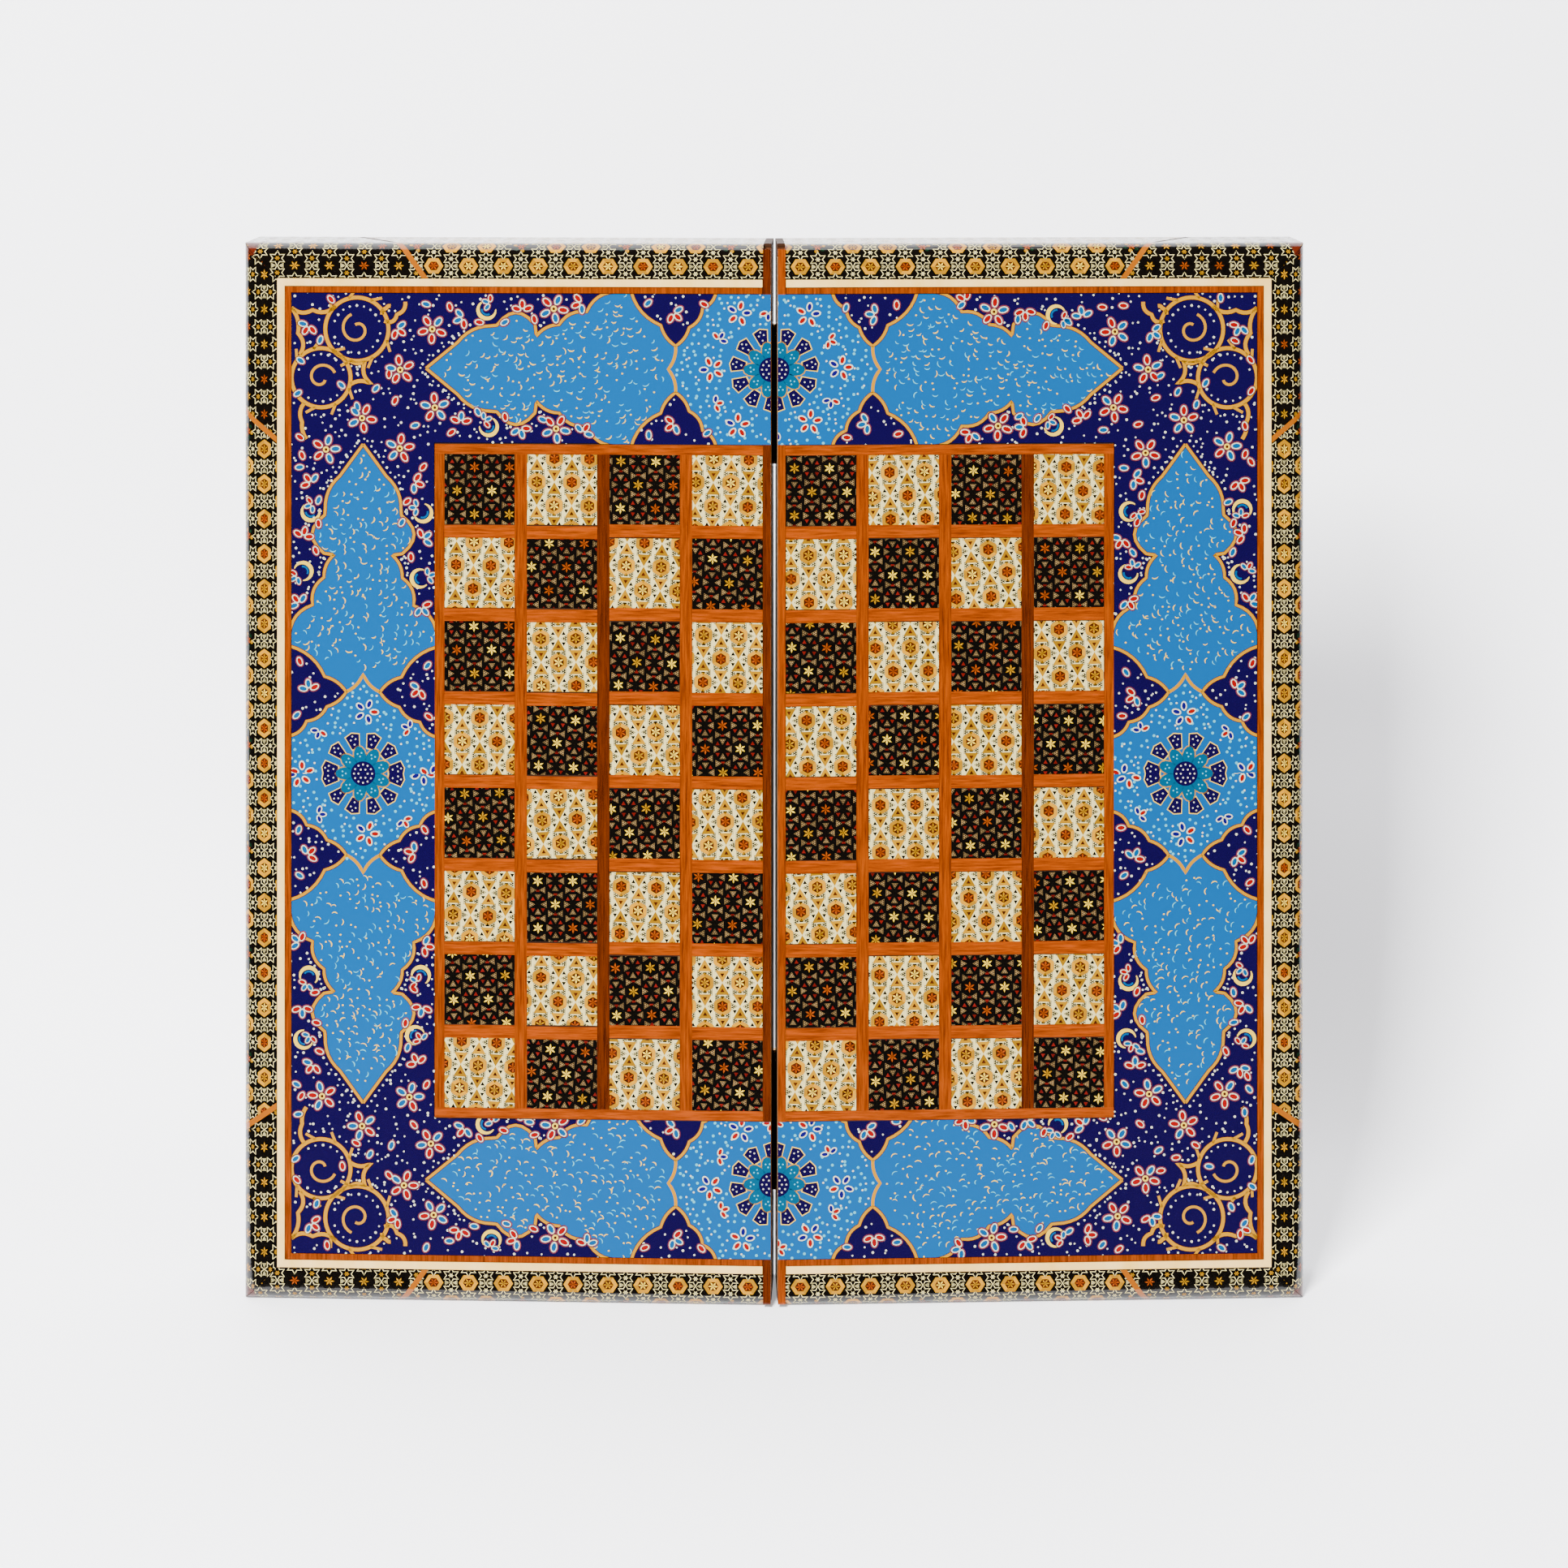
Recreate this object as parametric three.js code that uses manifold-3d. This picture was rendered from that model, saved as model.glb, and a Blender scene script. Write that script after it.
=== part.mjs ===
// A folding backgammon case of Persian khatam inlay, standing on its edge and open almost flat.
// Two shallow trays are joined by two brass butt hinges. Their outer faces carry one chessboard in a
// painted border, their inner faces the backgammon points, and two swing hooks hold the closed case shut.
// Units are millimetres and +Z is up. The board face looks towards -Y.
import * as THREE from "three";
import Module from "manifold-3d";
import { mergeVertices } from "three/addons/utils/BufferGeometryUtils.js";

// ---- Driving dimensions ----
const HALF_WIDTH = 250; // one tray, from the fold line to its outer side
const HEIGHT = 500;
const DEPTH = 40; // one tray, from the board face to the hinge axis
const FOLD_DEG = 2; // each tray is turned back this far from flat
const GAP = 0.3; // clearance between neighbouring pieces
const WALL = 13; // rail thickness
const VENEER = 1.5; // inlay sheet on the tray's sides
const MOULDING_WIDTH = 16;
const MOULDING_DEPTH = 9;
const ROUND_OVER = 7;
const FACE_THICKNESS = 2.5; // everything laid on the base panel's front
const BONE_WIDTH = 3.5;
const WOOD_LINE_WIDTH = 2.8;
const SEAM_STRIP_WIDTH = 3.6;
const CHESS_PITCH_X = 39;
const CHESS_PITCH_Z = 39.3;
const CHESS_TILE = 33.3;
const CHESS_MARGIN = 5; // outermost strip round the squares
const CHESS_DROP = 3; // the squares lie this far under the middle of the height
const FIELD_THICKNESS = 1.5; // veneered playing field inside
const POINT_THICKNESS = 1;
const POINTS_PER_ROW = 6;
const POINT_LENGTH = 185;
const POINT_BAND = 10; // band that joins the six points of a row
const HINGE_HEIGHTS = { lower: 75, upper: 425 };
const HINGE_LENGTH = 65;
const KNUCKLES = 5;
const KNUCKLE_RADIUS = 3;
const PIN_RADIUS = 1.4; // hinge pins, hook pivots and studs
const PIN_PLAY = 0.1; // between a pin and what turns on it
const LEAF_WIDTH = 11.4;
const LEAF_THICKNESS = 1.6;
const SCREW_SPREAD = 20; // hinge screws, each side of the hinge's middle
const LATCH_HEIGHTS = { lower: 125, upper: 375 };
const LATCH_SETBACK = 13; // hook pivot and stud, below the hinge axis plane
const HOOK_THICKNESS = 1.3;

// ---- Sizes that follow ----
const RIM_Y = DEPTH - GAP; // the open edge of a tray
const SEAM_X = GAP; // the side of a tray at the fold line
const PANEL_FRONT = FACE_THICKNESS + GAP;
const SIDE_X = HALF_WIDTH - VENEER - GAP; // outer side of the outer rail
const MOULDING_INNER = HALF_WIDTH - MOULDING_WIDTH;
const RABBET = MOULDING_WIDTH - 6; // how far the base panel runs under the moulding
const BONE_INSET = MOULDING_WIDTH + GAP;
const WOOD_INSET = BONE_INSET + BONE_WIDTH + GAP;
const PAINT_INSET = WOOD_INSET + WOOD_LINE_WIDTH + GAP;
const CHESS_WIDTH = SEAM_STRIP_WIDTH + 3 * CHESS_PITCH_X + CHESS_TILE + CHESS_MARGIN;
const CHESS_HEIGHT = 7 * CHESS_PITCH_Z + CHESS_TILE + 2 * CHESS_MARGIN;
const INNER_SEAM = SEAM_X + WALL; // inner face of the hinge rail
const INNER_SIDE = SIDE_X - WALL; // inner face of the outer rail
const INNER_END = VENEER + GAP + WALL; // inner face of the top and bottom rails, from the edge
const FIELD_FRONT = MOULDING_DEPTH + GAP;
const POINTS_FRONT = FIELD_FRONT + FIELD_THICKNESS + GAP;

const FINISHES = {
  walnut: { color: 0x5a2c14, roughness: 0.45 },
  plywood: { color: 0xb08a5a, roughness: 0.7 },
  khatam: { color: 0x5c4a30, roughness: 0.2 },
  bone: { color: 0xf2dfb2, roughness: 0.3 },
  orangeWood: { color: 0xb8560f, roughness: 0.3 },
  paint: { color: 0x1c1f86, roughness: 0.15 },
  chess: { color: 0x7a4a22, roughness: 0.2 },
  brass: { color: 0xc8973c, roughness: 0.3, metalness: 1 },
};

const wasm = await Module();
wasm.setup();

const materials = Object.fromEntries(
  Object.entries(FINISHES).map(([name, look]) => [name, new THREE.MeshStandardMaterial(look)]),
);

// ---- Solids: a three.js geometry becomes a manifold-3d solid, and back ----
function solid(geometry) {
  const bare = geometry.index ? geometry.toNonIndexed() : geometry.clone();
  bare.deleteAttribute("normal");
  bare.deleteAttribute("uv");
  const merged = mergeVertices(bare, 1e-4);
  return new wasm.Manifold(
    new wasm.Mesh({
      numProp: 3,
      vertProperties: merged.attributes.position.array,
      triVerts: new Uint32Array(merged.index.array),
    }),
  );
}

function node(name, shape, finish) {
  const { numProp, vertProperties, triVerts } = shape.getMesh();
  if (numProp !== 3) throw new Error(name + " has more than a position at each vertex");
  const geometry = new THREE.BufferGeometry();
  geometry.setAttribute("position", new THREE.BufferAttribute(vertProperties, 3));
  geometry.setIndex(new THREE.BufferAttribute(triVerts, 1));
  geometry.computeVertexNormals();
  const mesh = new THREE.Mesh(geometry, materials[finish]);
  mesh.name = name;
  return mesh;
}

// A box between two corners, in any order.
function block(x0, x1, y0, y1, z0, z1) {
  const size = [Math.abs(x1 - x0), Math.abs(y1 - y0), Math.abs(z1 - z0)];
  const box = new THREE.BoxGeometry(...size);
  box.translate((x0 + x1) / 2, (y0 + y1) / 2, (z0 + z1) / 2);
  return solid(box);
}

// A round bar along X or Z, from one end to the other.
function bar(along, radius, from, to, across, up, segments = 16) {
  const round = new THREE.CylinderGeometry(radius, radius, Math.abs(to - from), segments);
  if (along === "x") {
    round.rotateZ(Math.PI / 2);
    round.translate((from + to) / 2, across, up);
  } else {
    round.rotateX(Math.PI / 2);
    round.translate(across, up, (from + to) / 2);
  }
  return solid(round);
}

// A plate whose outline lies in the X-Z plane, between two depths.
function plate(points, y0, y1) {
  const outline = new THREE.Shape(points.map(([x, z]) => new THREE.Vector2(x, z)));
  const extruded = new THREE.ExtrudeGeometry(outline, { depth: y1 - y0, bevelEnabled: false });
  extruded.rotateX(Math.PI / 2); // the outline's y becomes z, and the depth runs towards -Y
  extruded.translate(0, y1, 0);
  return solid(extruded);
}

// A profile turned about the Y axis. Its points are a radius and a height.
function turned(profile, segments = 14) {
  return new THREE.LatheGeometry(
    profile.map(([r, h]) => new THREE.Vector2(r, h)),
    segments,
  );
}

// ---- One tray. side is +1 for the right tray and -1 for the left one ----
function tray(name, side) {
  const group = new THREE.Group();
  const x = (value) => side * value;
  const slab = (x0, x1, y0, y1, z0, z1) => block(x(x0), x(x1), y0, y1, z0, z1);
  const add = (part, shape, finish) => group.add(node(`${name}_${part}`, shape, finish));

  // Rails: the outer and hinge rails run the full height, and the top and bottom ones stand between them.
  const ends = { bottom: VENEER + GAP, top: HEIGHT - VENEER - GAP };
  const hingeCuts = Object.values(HINGE_HEIGHTS).flatMap((z) => hingeSeat(x, z));
  const latchBores = Object.values(LATCH_HEIGHTS).map((z) =>
    bar("x", PIN_RADIUS + GAP, x(SIDE_X - 10), x(HALF_WIDTH + 1), DEPTH - LATCH_SETBACK, z),
  );
  const cut = (shape, cutters) => cutters.reduce((left, cutter) => left.subtract(cutter), shape);
  const railFront = MOULDING_DEPTH + GAP;
  add(
    "hinge_rail",
    cut(slab(SEAM_X, INNER_SEAM, railFront, RIM_Y, ends.bottom, ends.top), hingeCuts),
    "walnut",
  );
  add(
    "outer_rail",
    cut(slab(INNER_SIDE, SIDE_X, railFront, RIM_Y, ends.bottom, ends.top), latchBores),
    "walnut",
  );
  const between = [INNER_SEAM + GAP, INNER_SIDE - GAP, railFront, RIM_Y];
  add("bottom_rail", slab(...between, ends.bottom, INNER_END), "walnut");
  add("top_rail", slab(...between, HEIGHT - INNER_END, ends.top), "walnut");

  // Base panel, which carries the board face on one side and the playing field on the other.
  const panelSide = MOULDING_INNER + RABBET - GAP;
  const panelEnd = MOULDING_WIDTH - RABBET + GAP;
  add(
    "base_panel",
    slab(SEAM_X, panelSide, PANEL_FRONT, MOULDING_DEPTH, panelEnd, HEIGHT - panelEnd),
    "plywood",
  );

  // Rounded edge mouldings and the veneer behind them, mitred at the outer corners.
  for (const edge of ["bottom", "top", "outer"]) {
    add(`${edge}_moulding`, moulding(side, edge), "khatam");
    const plain = veneer(side, edge);
    add(`${edge}_veneer`, edge === "outer" ? cut(plain, latchBores) : plain, "khatam");
  }

  // The board face: three nested frames open at the fold line, the chess squares, and the seam strip.
  const seamInner = SEAM_X + SEAM_STRIP_WIDTH + GAP;
  const chessLow = (HEIGHT - CHESS_HEIGHT) / 2 - CHESS_DROP;
  const chessHigh = chessLow + CHESS_HEIGHT;
  add("bone_line", openFrame(x, seamInner, BONE_INSET, BONE_WIDTH, BONE_WIDTH), "bone");
  add("wood_line", openFrame(x, seamInner, WOOD_INSET, WOOD_LINE_WIDTH, WOOD_LINE_WIDTH), "orangeWood");
  const paintSide = HALF_WIDTH - PAINT_INSET - CHESS_WIDTH - GAP;
  add(
    "painted_border",
    openFrame(
      x,
      seamInner,
      PAINT_INSET,
      paintSide,
      chessLow - PAINT_INSET - GAP,
      HEIGHT - chessHigh - PAINT_INSET - GAP,
    ),
    "paint",
  );
  add(
    "chess_field",
    slab(seamInner, CHESS_WIDTH, 0, FACE_THICKNESS, chessLow, chessHigh),
    "chess",
  );
  const stripEnd = MOULDING_DEPTH - ROUND_OVER; // the strip's ends stay inside the rounded edge
  add(
    "seam_strip",
    slab(SEAM_X, SEAM_X + SEAM_STRIP_WIDTH, 0, FACE_THICKNESS, stripEnd, HEIGHT - stripEnd),
    "orangeWood",
  );

  // The playing side: a veneered field and two rows of six points.
  const field = [INNER_SEAM + GAP, INNER_SIDE - GAP];
  const fieldEnd = INNER_END + GAP;
  add(
    "playing_field",
    slab(...field, FIELD_FRONT, FIELD_FRONT + FIELD_THICKNESS, fieldEnd, HEIGHT - fieldEnd),
    "walnut",
  );
  add("bottom_points", pointRow(x, field, fieldEnd, 1), "khatam");
  add("top_points", pointRow(x, field, HEIGHT - fieldEnd, -1), "khatam");

  // The whole tray turns about the hinge axis.
  group.children.forEach((mesh) => mesh.geometry.translate(0, -DEPTH, 0));
  group.position.y = DEPTH;
  group.rotation.z = side * THREE.MathUtils.degToRad(FOLD_DEG);
  return group;
}

// A frame with three sides, open at the fold line: across, bottom and top are the widths of its sides.
function openFrame(x, seam, inset, across, bottom, top = bottom) {
  const outer = HALF_WIDTH - inset;
  const low = inset;
  const high = HEIGHT - inset;
  const points = [
    [x(seam), low],
    [x(outer), low],
    [x(outer), high],
    [x(seam), high],
    [x(seam), high - top],
    [x(outer - across), high - top],
    [x(outer - across), low + bottom],
    [x(seam), low + bottom],
  ];
  return plate(points, 0, FACE_THICKNESS);
}

// Six slender points on a band, growing from one end of the field towards its middle.
function pointRow(x, [from, to], start, up) {
  const pitch = (to - from) / POINTS_PER_ROW;
  const band = start + up * POINT_BAND;
  const points = [
    [x(from), start],
    [x(to), start],
    [x(to), band],
  ];
  for (let i = POINTS_PER_ROW - 1; i >= 0; i--) {
    const middle = from + (i + 0.5) * pitch;
    points.push([x(middle + 0.44 * pitch), band]);
    points.push([x(middle), start + up * POINT_LENGTH]);
    points.push([x(middle - 0.44 * pitch), band]);
  }
  points.push([x(from), band]);
  return plate(points, POINTS_FRONT, POINTS_FRONT + POINT_THICKNESS);
}

// The space in front of one outer corner mitre, as a prism that takes away what lies beyond the diagonal.
function mitre(x, edge) {
  const reach = 60;
  const corners = edge.startsWith("bottom") ? [[0, 1]] : [[HEIGHT, -1]];
  const [z, up] = corners[0];
  const beyond = edge.endsWith("outer") ? -1 : 1; // which side of the diagonal is cut away
  const slip = -beyond * GAP * Math.SQRT1_2;
  const near = [x(HALF_WIDTH - reach + slip), z + up * reach];
  const far = [x(HALF_WIDTH + reach + slip), z - up * reach];
  const away = [x(HALF_WIDTH + beyond * reach * 2), z + beyond * up * reach * 2];
  return plate([near, far, away], -10, DEPTH + 10);
}

// The rounded edge piece: a rabbeted profile with a quarter round, run along one edge.
function moulding(side, edge) {
  const x = (value) => side * value;
  const profile = new THREE.Shape();
  profile.moveTo(MOULDING_WIDTH, 0);
  profile.lineTo(ROUND_OVER, 0);
  profile.absarc(ROUND_OVER, ROUND_OVER, ROUND_OVER, -Math.PI / 2, -Math.PI, true);
  profile.lineTo(0, MOULDING_DEPTH);
  profile.lineTo(MOULDING_WIDTH - RABBET, MOULDING_DEPTH);
  profile.lineTo(MOULDING_WIDTH - RABBET, FACE_THICKNESS);
  profile.lineTo(MOULDING_WIDTH, FACE_THICKNESS);
  return edgePiece(x, edge, profile, SEAM_X + SEAM_STRIP_WIDTH + GAP);
}

// The thin inlaid sheet on the side of the tray, behind the moulding.
function veneer(side, edge) {
  const x = (value) => side * value;
  const profile = new THREE.Shape();
  profile.moveTo(0, MOULDING_DEPTH + GAP);
  profile.lineTo(VENEER, MOULDING_DEPTH + GAP);
  profile.lineTo(VENEER, RIM_Y);
  profile.lineTo(0, RIM_Y);
  return edgePiece(x, edge, profile, SEAM_X);
}

// Runs a profile along one edge. Its first number is the distance in from the edge, its second the depth.
function edgePiece(x, edge, profile, seam) {
  const outline = profile.extractPoints(6).shape;
  const upright = edge === "outer";
  const length = upright ? HEIGHT : HALF_WIDTH - seam;
  const run = new THREE.ExtrudeGeometry(new THREE.Shape(outline), {
    depth: length,
    bevelEnabled: false,
  });
  const at = run.attributes.position;
  for (let i = 0; i < at.count; i++) {
    const inset = at.getX(i);
    const depth = at.getY(i);
    const along = at.getZ(i);
    if (upright) at.setXYZ(i, x(HALF_WIDTH - inset), depth, along);
    else at.setXYZ(i, x(seam + along), depth, edge === "bottom" ? inset : HEIGHT - inset);
  }
  let shape = facingOut(run);
  if (upright) shape = shape.subtract(mitre(x, "bottom_outer")).subtract(mitre(x, "top_outer"));
  else shape = shape.subtract(mitre(x, edge));
  return shape;
}

// A solid with its faces outwards. A mirror turns them inwards, and then each triangle is reversed.
function facingOut(geometry) {
  const flat = geometry.index ? geometry.toNonIndexed() : geometry;
  const made = solid(flat);
  if (made.volume() > 0) return made;
  const at = flat.attributes.position;
  const second = new THREE.Vector3();
  const third = new THREE.Vector3();
  for (let i = 0; i < at.count; i += 3) {
    second.fromBufferAttribute(at, i + 1);
    third.fromBufferAttribute(at, i + 2);
    at.setXYZ(i + 1, third.x, third.y, third.z);
    at.setXYZ(i + 2, second.x, second.y, second.z);
  }
  return solid(flat);
}

// ---- Hinges: the leaves lie in the rims, and their knuckles turn about the corner where the trays meet ----
const LEAF_BACK = RIM_Y - LEAF_THICKNESS;
const SCREW_X = 7.4;
const SCREW_LENGTH = 9;

function hingeSeat(x, z) {
  const half = HINGE_LENGTH / 2 + GAP;
  const screws = [-SCREW_SPREAD, SCREW_SPREAD].map((dz) => {
    const hole = new THREE.CylinderGeometry(1.1 + GAP, 1.1 + GAP, SCREW_LENGTH + 4, 12);
    hole.translate(x(SCREW_X), RIM_Y - SCREW_LENGTH / 2, z + dz);
    return solid(hole);
  });
  return [
    block(x(-1), x(LEAF_WIDTH + GAP), LEAF_BACK - GAP, DEPTH + 1, z - half, z + half),
    bar("z", KNUCKLE_RADIUS + 2 * GAP, z - half - 2, z + half + 2, 0, DEPTH, 24),
    ...screws,
  ];
}

function knuckleSpans(z, first) {
  const step = HINGE_LENGTH / KNUCKLES;
  const spans = [];
  for (let i = first; i < KNUCKLES; i += 2) {
    const low = z - HINGE_LENGTH / 2 + i * step;
    spans.push([low + GAP / 2, low + step - GAP / 2]);
  }
  return spans;
}

function hingeLeaf(side, z) {
  const x = (value) => side * value;
  const own = knuckleSpans(z, side < 0 ? 0 : 1);
  const other = knuckleSpans(z, side < 0 ? 1 : 0);
  const half = HINGE_LENGTH / 2;
  let leaf = block(x(0.6), x(LEAF_WIDTH), LEAF_BACK, RIM_Y, z - half, z + half);
  for (const [low, high] of other)
    leaf = leaf.subtract(bar("z", KNUCKLE_RADIUS + GAP, low - GAP, high + GAP, 0, DEPTH, 24));
  for (const [low, high] of own)
    leaf = leaf.add(bar("z", KNUCKLE_RADIUS, low, high, 0, DEPTH, 20));
  leaf = leaf.subtract(bar("z", PIN_RADIUS + PIN_PLAY, z - half - 5, z + half + 5, 0, DEPTH, 16));
  for (const dz of [-SCREW_SPREAD, SCREW_SPREAD]) {
    const sink = turned([
      [0, -3],
      [1.1 + GAP, -3],
      [1.1 + GAP, -1.5],
      [2.3 + GAP, 0],
      [2.3 + GAP, 0.3],
      [0, 0.3],
    ]);
    sink.translate(x(SCREW_X), RIM_Y, z + dz);
    leaf = leaf.subtract(solid(sink));
  }
  return leaf;
}

function hingeScrew(side, z) {
  const screw = turned([
    [0, -SCREW_LENGTH],
    [1.1, -SCREW_LENGTH + 2],
    [1.1, -1.3],
    [2.3, -0.1],
    [2.0, 0],
    [0, 0],
  ]);
  screw.translate(side * SCREW_X, RIM_Y, z);
  return solid(screw);
}

function hingePin(z) {
  const half = HINGE_LENGTH / 2;
  const pin = turned(
    [
      [0, -half - 1.2],
      [1.6, -half - 1.2],
      [2.2, -half - 0.2 - GAP],
      [2.2, -half - GAP],
      [PIN_RADIUS, -half - GAP],
      [PIN_RADIUS, half + GAP],
      [2.2, half + GAP],
      [2.2, half + 0.2 + GAP],
      [1.6, half + 1.2],
      [0, half + 1.2],
    ],
    16,
  );
  pin.rotateX(Math.PI / 2);
  pin.translate(0, DEPTH, z);
  return solid(pin);
}

// ---- Latches: a hook swings on the right tray's side and catches a stud on the left tray's side ----
const LATCH_Y = DEPTH - LATCH_SETBACK;
const HOOK_X = HALF_WIDTH + 2 * GAP;
const HOOK_REACH = 2 * LATCH_SETBACK; // pivot to stud when the case is closed

function hook(z) {
  const mouth = 1.8; // half the slot's width
  const outline = new THREE.Shape();
  // The arm hangs from the pivot at the outline's origin, and its slot opens towards +x of the outline.
  outline.absarc(0, 0, 4, -0.35, Math.PI + 0.35, false);
  outline.lineTo(-2.2, -10);
  outline.quadraticCurveTo(-2.2, -HOOK_REACH + 7, -4, -HOOK_REACH + 2);
  outline.quadraticCurveTo(-5, -HOOK_REACH - 3, -1.5, -HOOK_REACH - 6);
  outline.quadraticCurveTo(3.5, -HOOK_REACH - 7, 4.6, -HOOK_REACH - mouth);
  outline.lineTo(0, -HOOK_REACH - mouth);
  outline.absarc(0, -HOOK_REACH, mouth, -Math.PI / 2, Math.PI / 2, true);
  outline.lineTo(4, -HOOK_REACH + mouth);
  outline.quadraticCurveTo(2.4, -HOOK_REACH + 6, 2.2, -10);
  const eye = new THREE.Path();
  eye.absarc(0, 0, PIN_RADIUS + PIN_PLAY, 0, 2 * Math.PI, true);
  outline.holes.push(eye);
  const arm = new THREE.ExtrudeGeometry(outline, {
    depth: HOOK_THICKNESS,
    bevelEnabled: false,
    curveSegments: 8,
  });
  arm.rotateX(Math.PI / 2); // outline y to z
  arm.rotateZ(Math.PI / 2); // outline x to y, thickness to x
  const made = facingOut(arm);
  const { min } = made.boundingBox();
  return made.translate([HOOK_X - min[0], LATCH_Y, z]);
}

// A pin with a round head, standing out of the tray's side. length is what shows under the head.
function sidePin(side, z, headRadius, length) {
  const profile = turned([
    [0, -9],
    [PIN_RADIUS, -9],
    [PIN_RADIUS, length],
    [headRadius, length],
    [headRadius, length + 0.5],
    [headRadius * 0.6, length + 1.2],
    [0, length + 1.4],
  ]);
  profile.rotateZ((-side * Math.PI) / 2);
  profile.translate(side * HALF_WIDTH, LATCH_Y, z);
  return solid(profile);
}

// ---- The case ----
const rightTray = tray("right", 1);
const leftTray = tray("left", -1);
const lift = (shape) => shape.translate([0, -DEPTH, 0]); // into the turned group's frame
for (const [where, z] of Object.entries(HINGE_HEIGHTS)) {
  for (const [name, side, group] of [
    ["left", -1, leftTray],
    ["right", 1, rightTray],
  ]) {
    group.add(node(`${where}_hinge_${name}_leaf`, lift(hingeLeaf(side, z)), "brass"));
    for (const [end, dz] of [
      ["lower", -SCREW_SPREAD],
      ["upper", SCREW_SPREAD],
    ])
      group.add(node(`${where}_hinge_${name}_${end}_screw`, lift(hingeScrew(side, z + dz)), "brass"));
  }
  leftTray.add(node(`${where}_hinge_pin`, lift(hingePin(z)), "brass"));
}
for (const [where, z] of Object.entries(LATCH_HEIGHTS)) {
  const hookGap = 2 * GAP + HOOK_THICKNESS + GAP;
  rightTray.add(node(`${where}_latch_hook`, lift(hook(z)), "brass"));
  rightTray.add(node(`${where}_latch_pivot`, lift(sidePin(1, z, 3.2, hookGap)), "brass"));
  leftTray.add(node(`${where}_latch_stud`, lift(sidePin(-1, z, 2.6, hookGap)), "brass"));
}

const backgammonCase = new THREE.Group();
backgammonCase.add(leftTray, rightTray);

// The origin is the middle of the bounding box's underside.
const bounds = new THREE.Box3().setFromObject(backgammonCase, true);
const middle = bounds.getCenter(new THREE.Vector3());
backgammonCase.position.set(-middle.x, -middle.y, -bounds.min.z);

export default backgammonCase;
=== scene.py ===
"""Visual model of a folding backgammon case of Persian khatam inlay, standing open on its edge.

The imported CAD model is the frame. Inlay, paint and grain are laid on it as thin pieces that ride on the
two trays. Lengths in the classes are millimetres, and the meshes are in metres. A place on a tray is
(u, d, z): u is the distance from the fold line, d the depth behind the board face, and z the height.
"""

from __future__ import annotations

import logging
import math
from dataclasses import dataclass, field
from enum import Enum

import bpy
import numpy as np
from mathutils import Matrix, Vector
from mathutils.geometry import tessellate_polygon

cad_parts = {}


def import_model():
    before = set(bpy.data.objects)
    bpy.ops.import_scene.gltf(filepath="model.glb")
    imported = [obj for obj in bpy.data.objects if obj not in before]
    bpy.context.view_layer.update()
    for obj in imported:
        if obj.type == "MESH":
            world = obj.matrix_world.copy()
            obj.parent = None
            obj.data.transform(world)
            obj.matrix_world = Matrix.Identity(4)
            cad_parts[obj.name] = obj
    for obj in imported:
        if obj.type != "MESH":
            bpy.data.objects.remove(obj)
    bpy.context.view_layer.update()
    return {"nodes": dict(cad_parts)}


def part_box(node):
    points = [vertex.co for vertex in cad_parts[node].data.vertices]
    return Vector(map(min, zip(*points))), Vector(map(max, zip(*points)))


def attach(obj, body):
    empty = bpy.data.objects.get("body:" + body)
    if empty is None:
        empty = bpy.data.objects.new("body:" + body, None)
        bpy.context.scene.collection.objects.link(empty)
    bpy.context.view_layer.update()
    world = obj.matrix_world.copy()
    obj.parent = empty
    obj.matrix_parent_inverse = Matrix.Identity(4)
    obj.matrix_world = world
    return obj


LOG = logging.getLogger("case")
MM = 0.001
HALF_WIDTH = 250.0
HEIGHT = 500.0
FOLD = math.radians(2.0)
HINGE_DEPTH = 40.0
SEAM = 0.3
STRIP_END = 3.9
VARIANTS = 3
VARIANT_GAIN = (0.74, 1.0, 1.2)
LACQUER_DEPTH = 1.6  # a clear lacquer makes the colours under it deeper
LACQUER_LOSS = 0.24  # the share of light that a full lacquer takes
FULL_TURN = 2 * math.pi
LEVEL = 1000  # a shard's code is its level times this, plus the index of its shade
LEVEL_STEP = 0.03


class Side(Enum):
    """The two trays, with the sign of their X direction."""

    LEFT = -1
    RIGHT = 1

    @property
    def label(self) -> str:
        """The tray's name in piece names."""
        return self.name.lower()

    @property
    def body(self) -> str:
        """The CAD body that the tray's pieces ride on."""
        return f"{self.label}_half"


class Tone(Enum):
    """Colours of the inlay and the paint, as 8-bit sRGB before lacquer deepens them."""

    BLACK = (40, 35, 30)
    BONE = (215, 205, 160)
    GOLD = (175, 140, 5)
    YELLOW = (190, 150, 5)
    CREAM = (220, 195, 90)
    BROWN = (100, 55, 35)
    ORANGE = (160, 95, 10)
    GREEN = (45, 75, 55)
    RED = (130, 50, 45)
    NAVY = (45, 5, 90)
    AZURE = (0, 115, 160)
    LEAF_GOLD = (190, 150, 10)
    PETAL = (205, 205, 190)
    BLUSH = (135, 80, 90)
    ASH = (160, 140, 105)
    CRIMSON = (160, 10, 35)
    SKY = (5, 110, 150)
    DEEP = (55, 5, 125)
    CYAN = (110, 185, 200)
    TEAL = (5, 110, 135)
    MARQUISE = (170, 115, 0)
    WEDGE = (115, 60, 40)

    @property
    def index(self) -> int:
        """The tone's place in the list of all tones."""
        return TONE_INDEX[self]


TONE_INDEX = {tone: i for i, tone in enumerate(Tone)}


def linear(channel: float) -> float:
    """Turns one sRGB channel into linear light.

    Args:
        channel: The sRGB value from 0 to 1.

    Returns:
        The linear value from 0 to 1.
    """
    return channel / 12.92 if channel <= 0.04045 else ((channel + 0.055) / 1.055) ** 2.4


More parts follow.
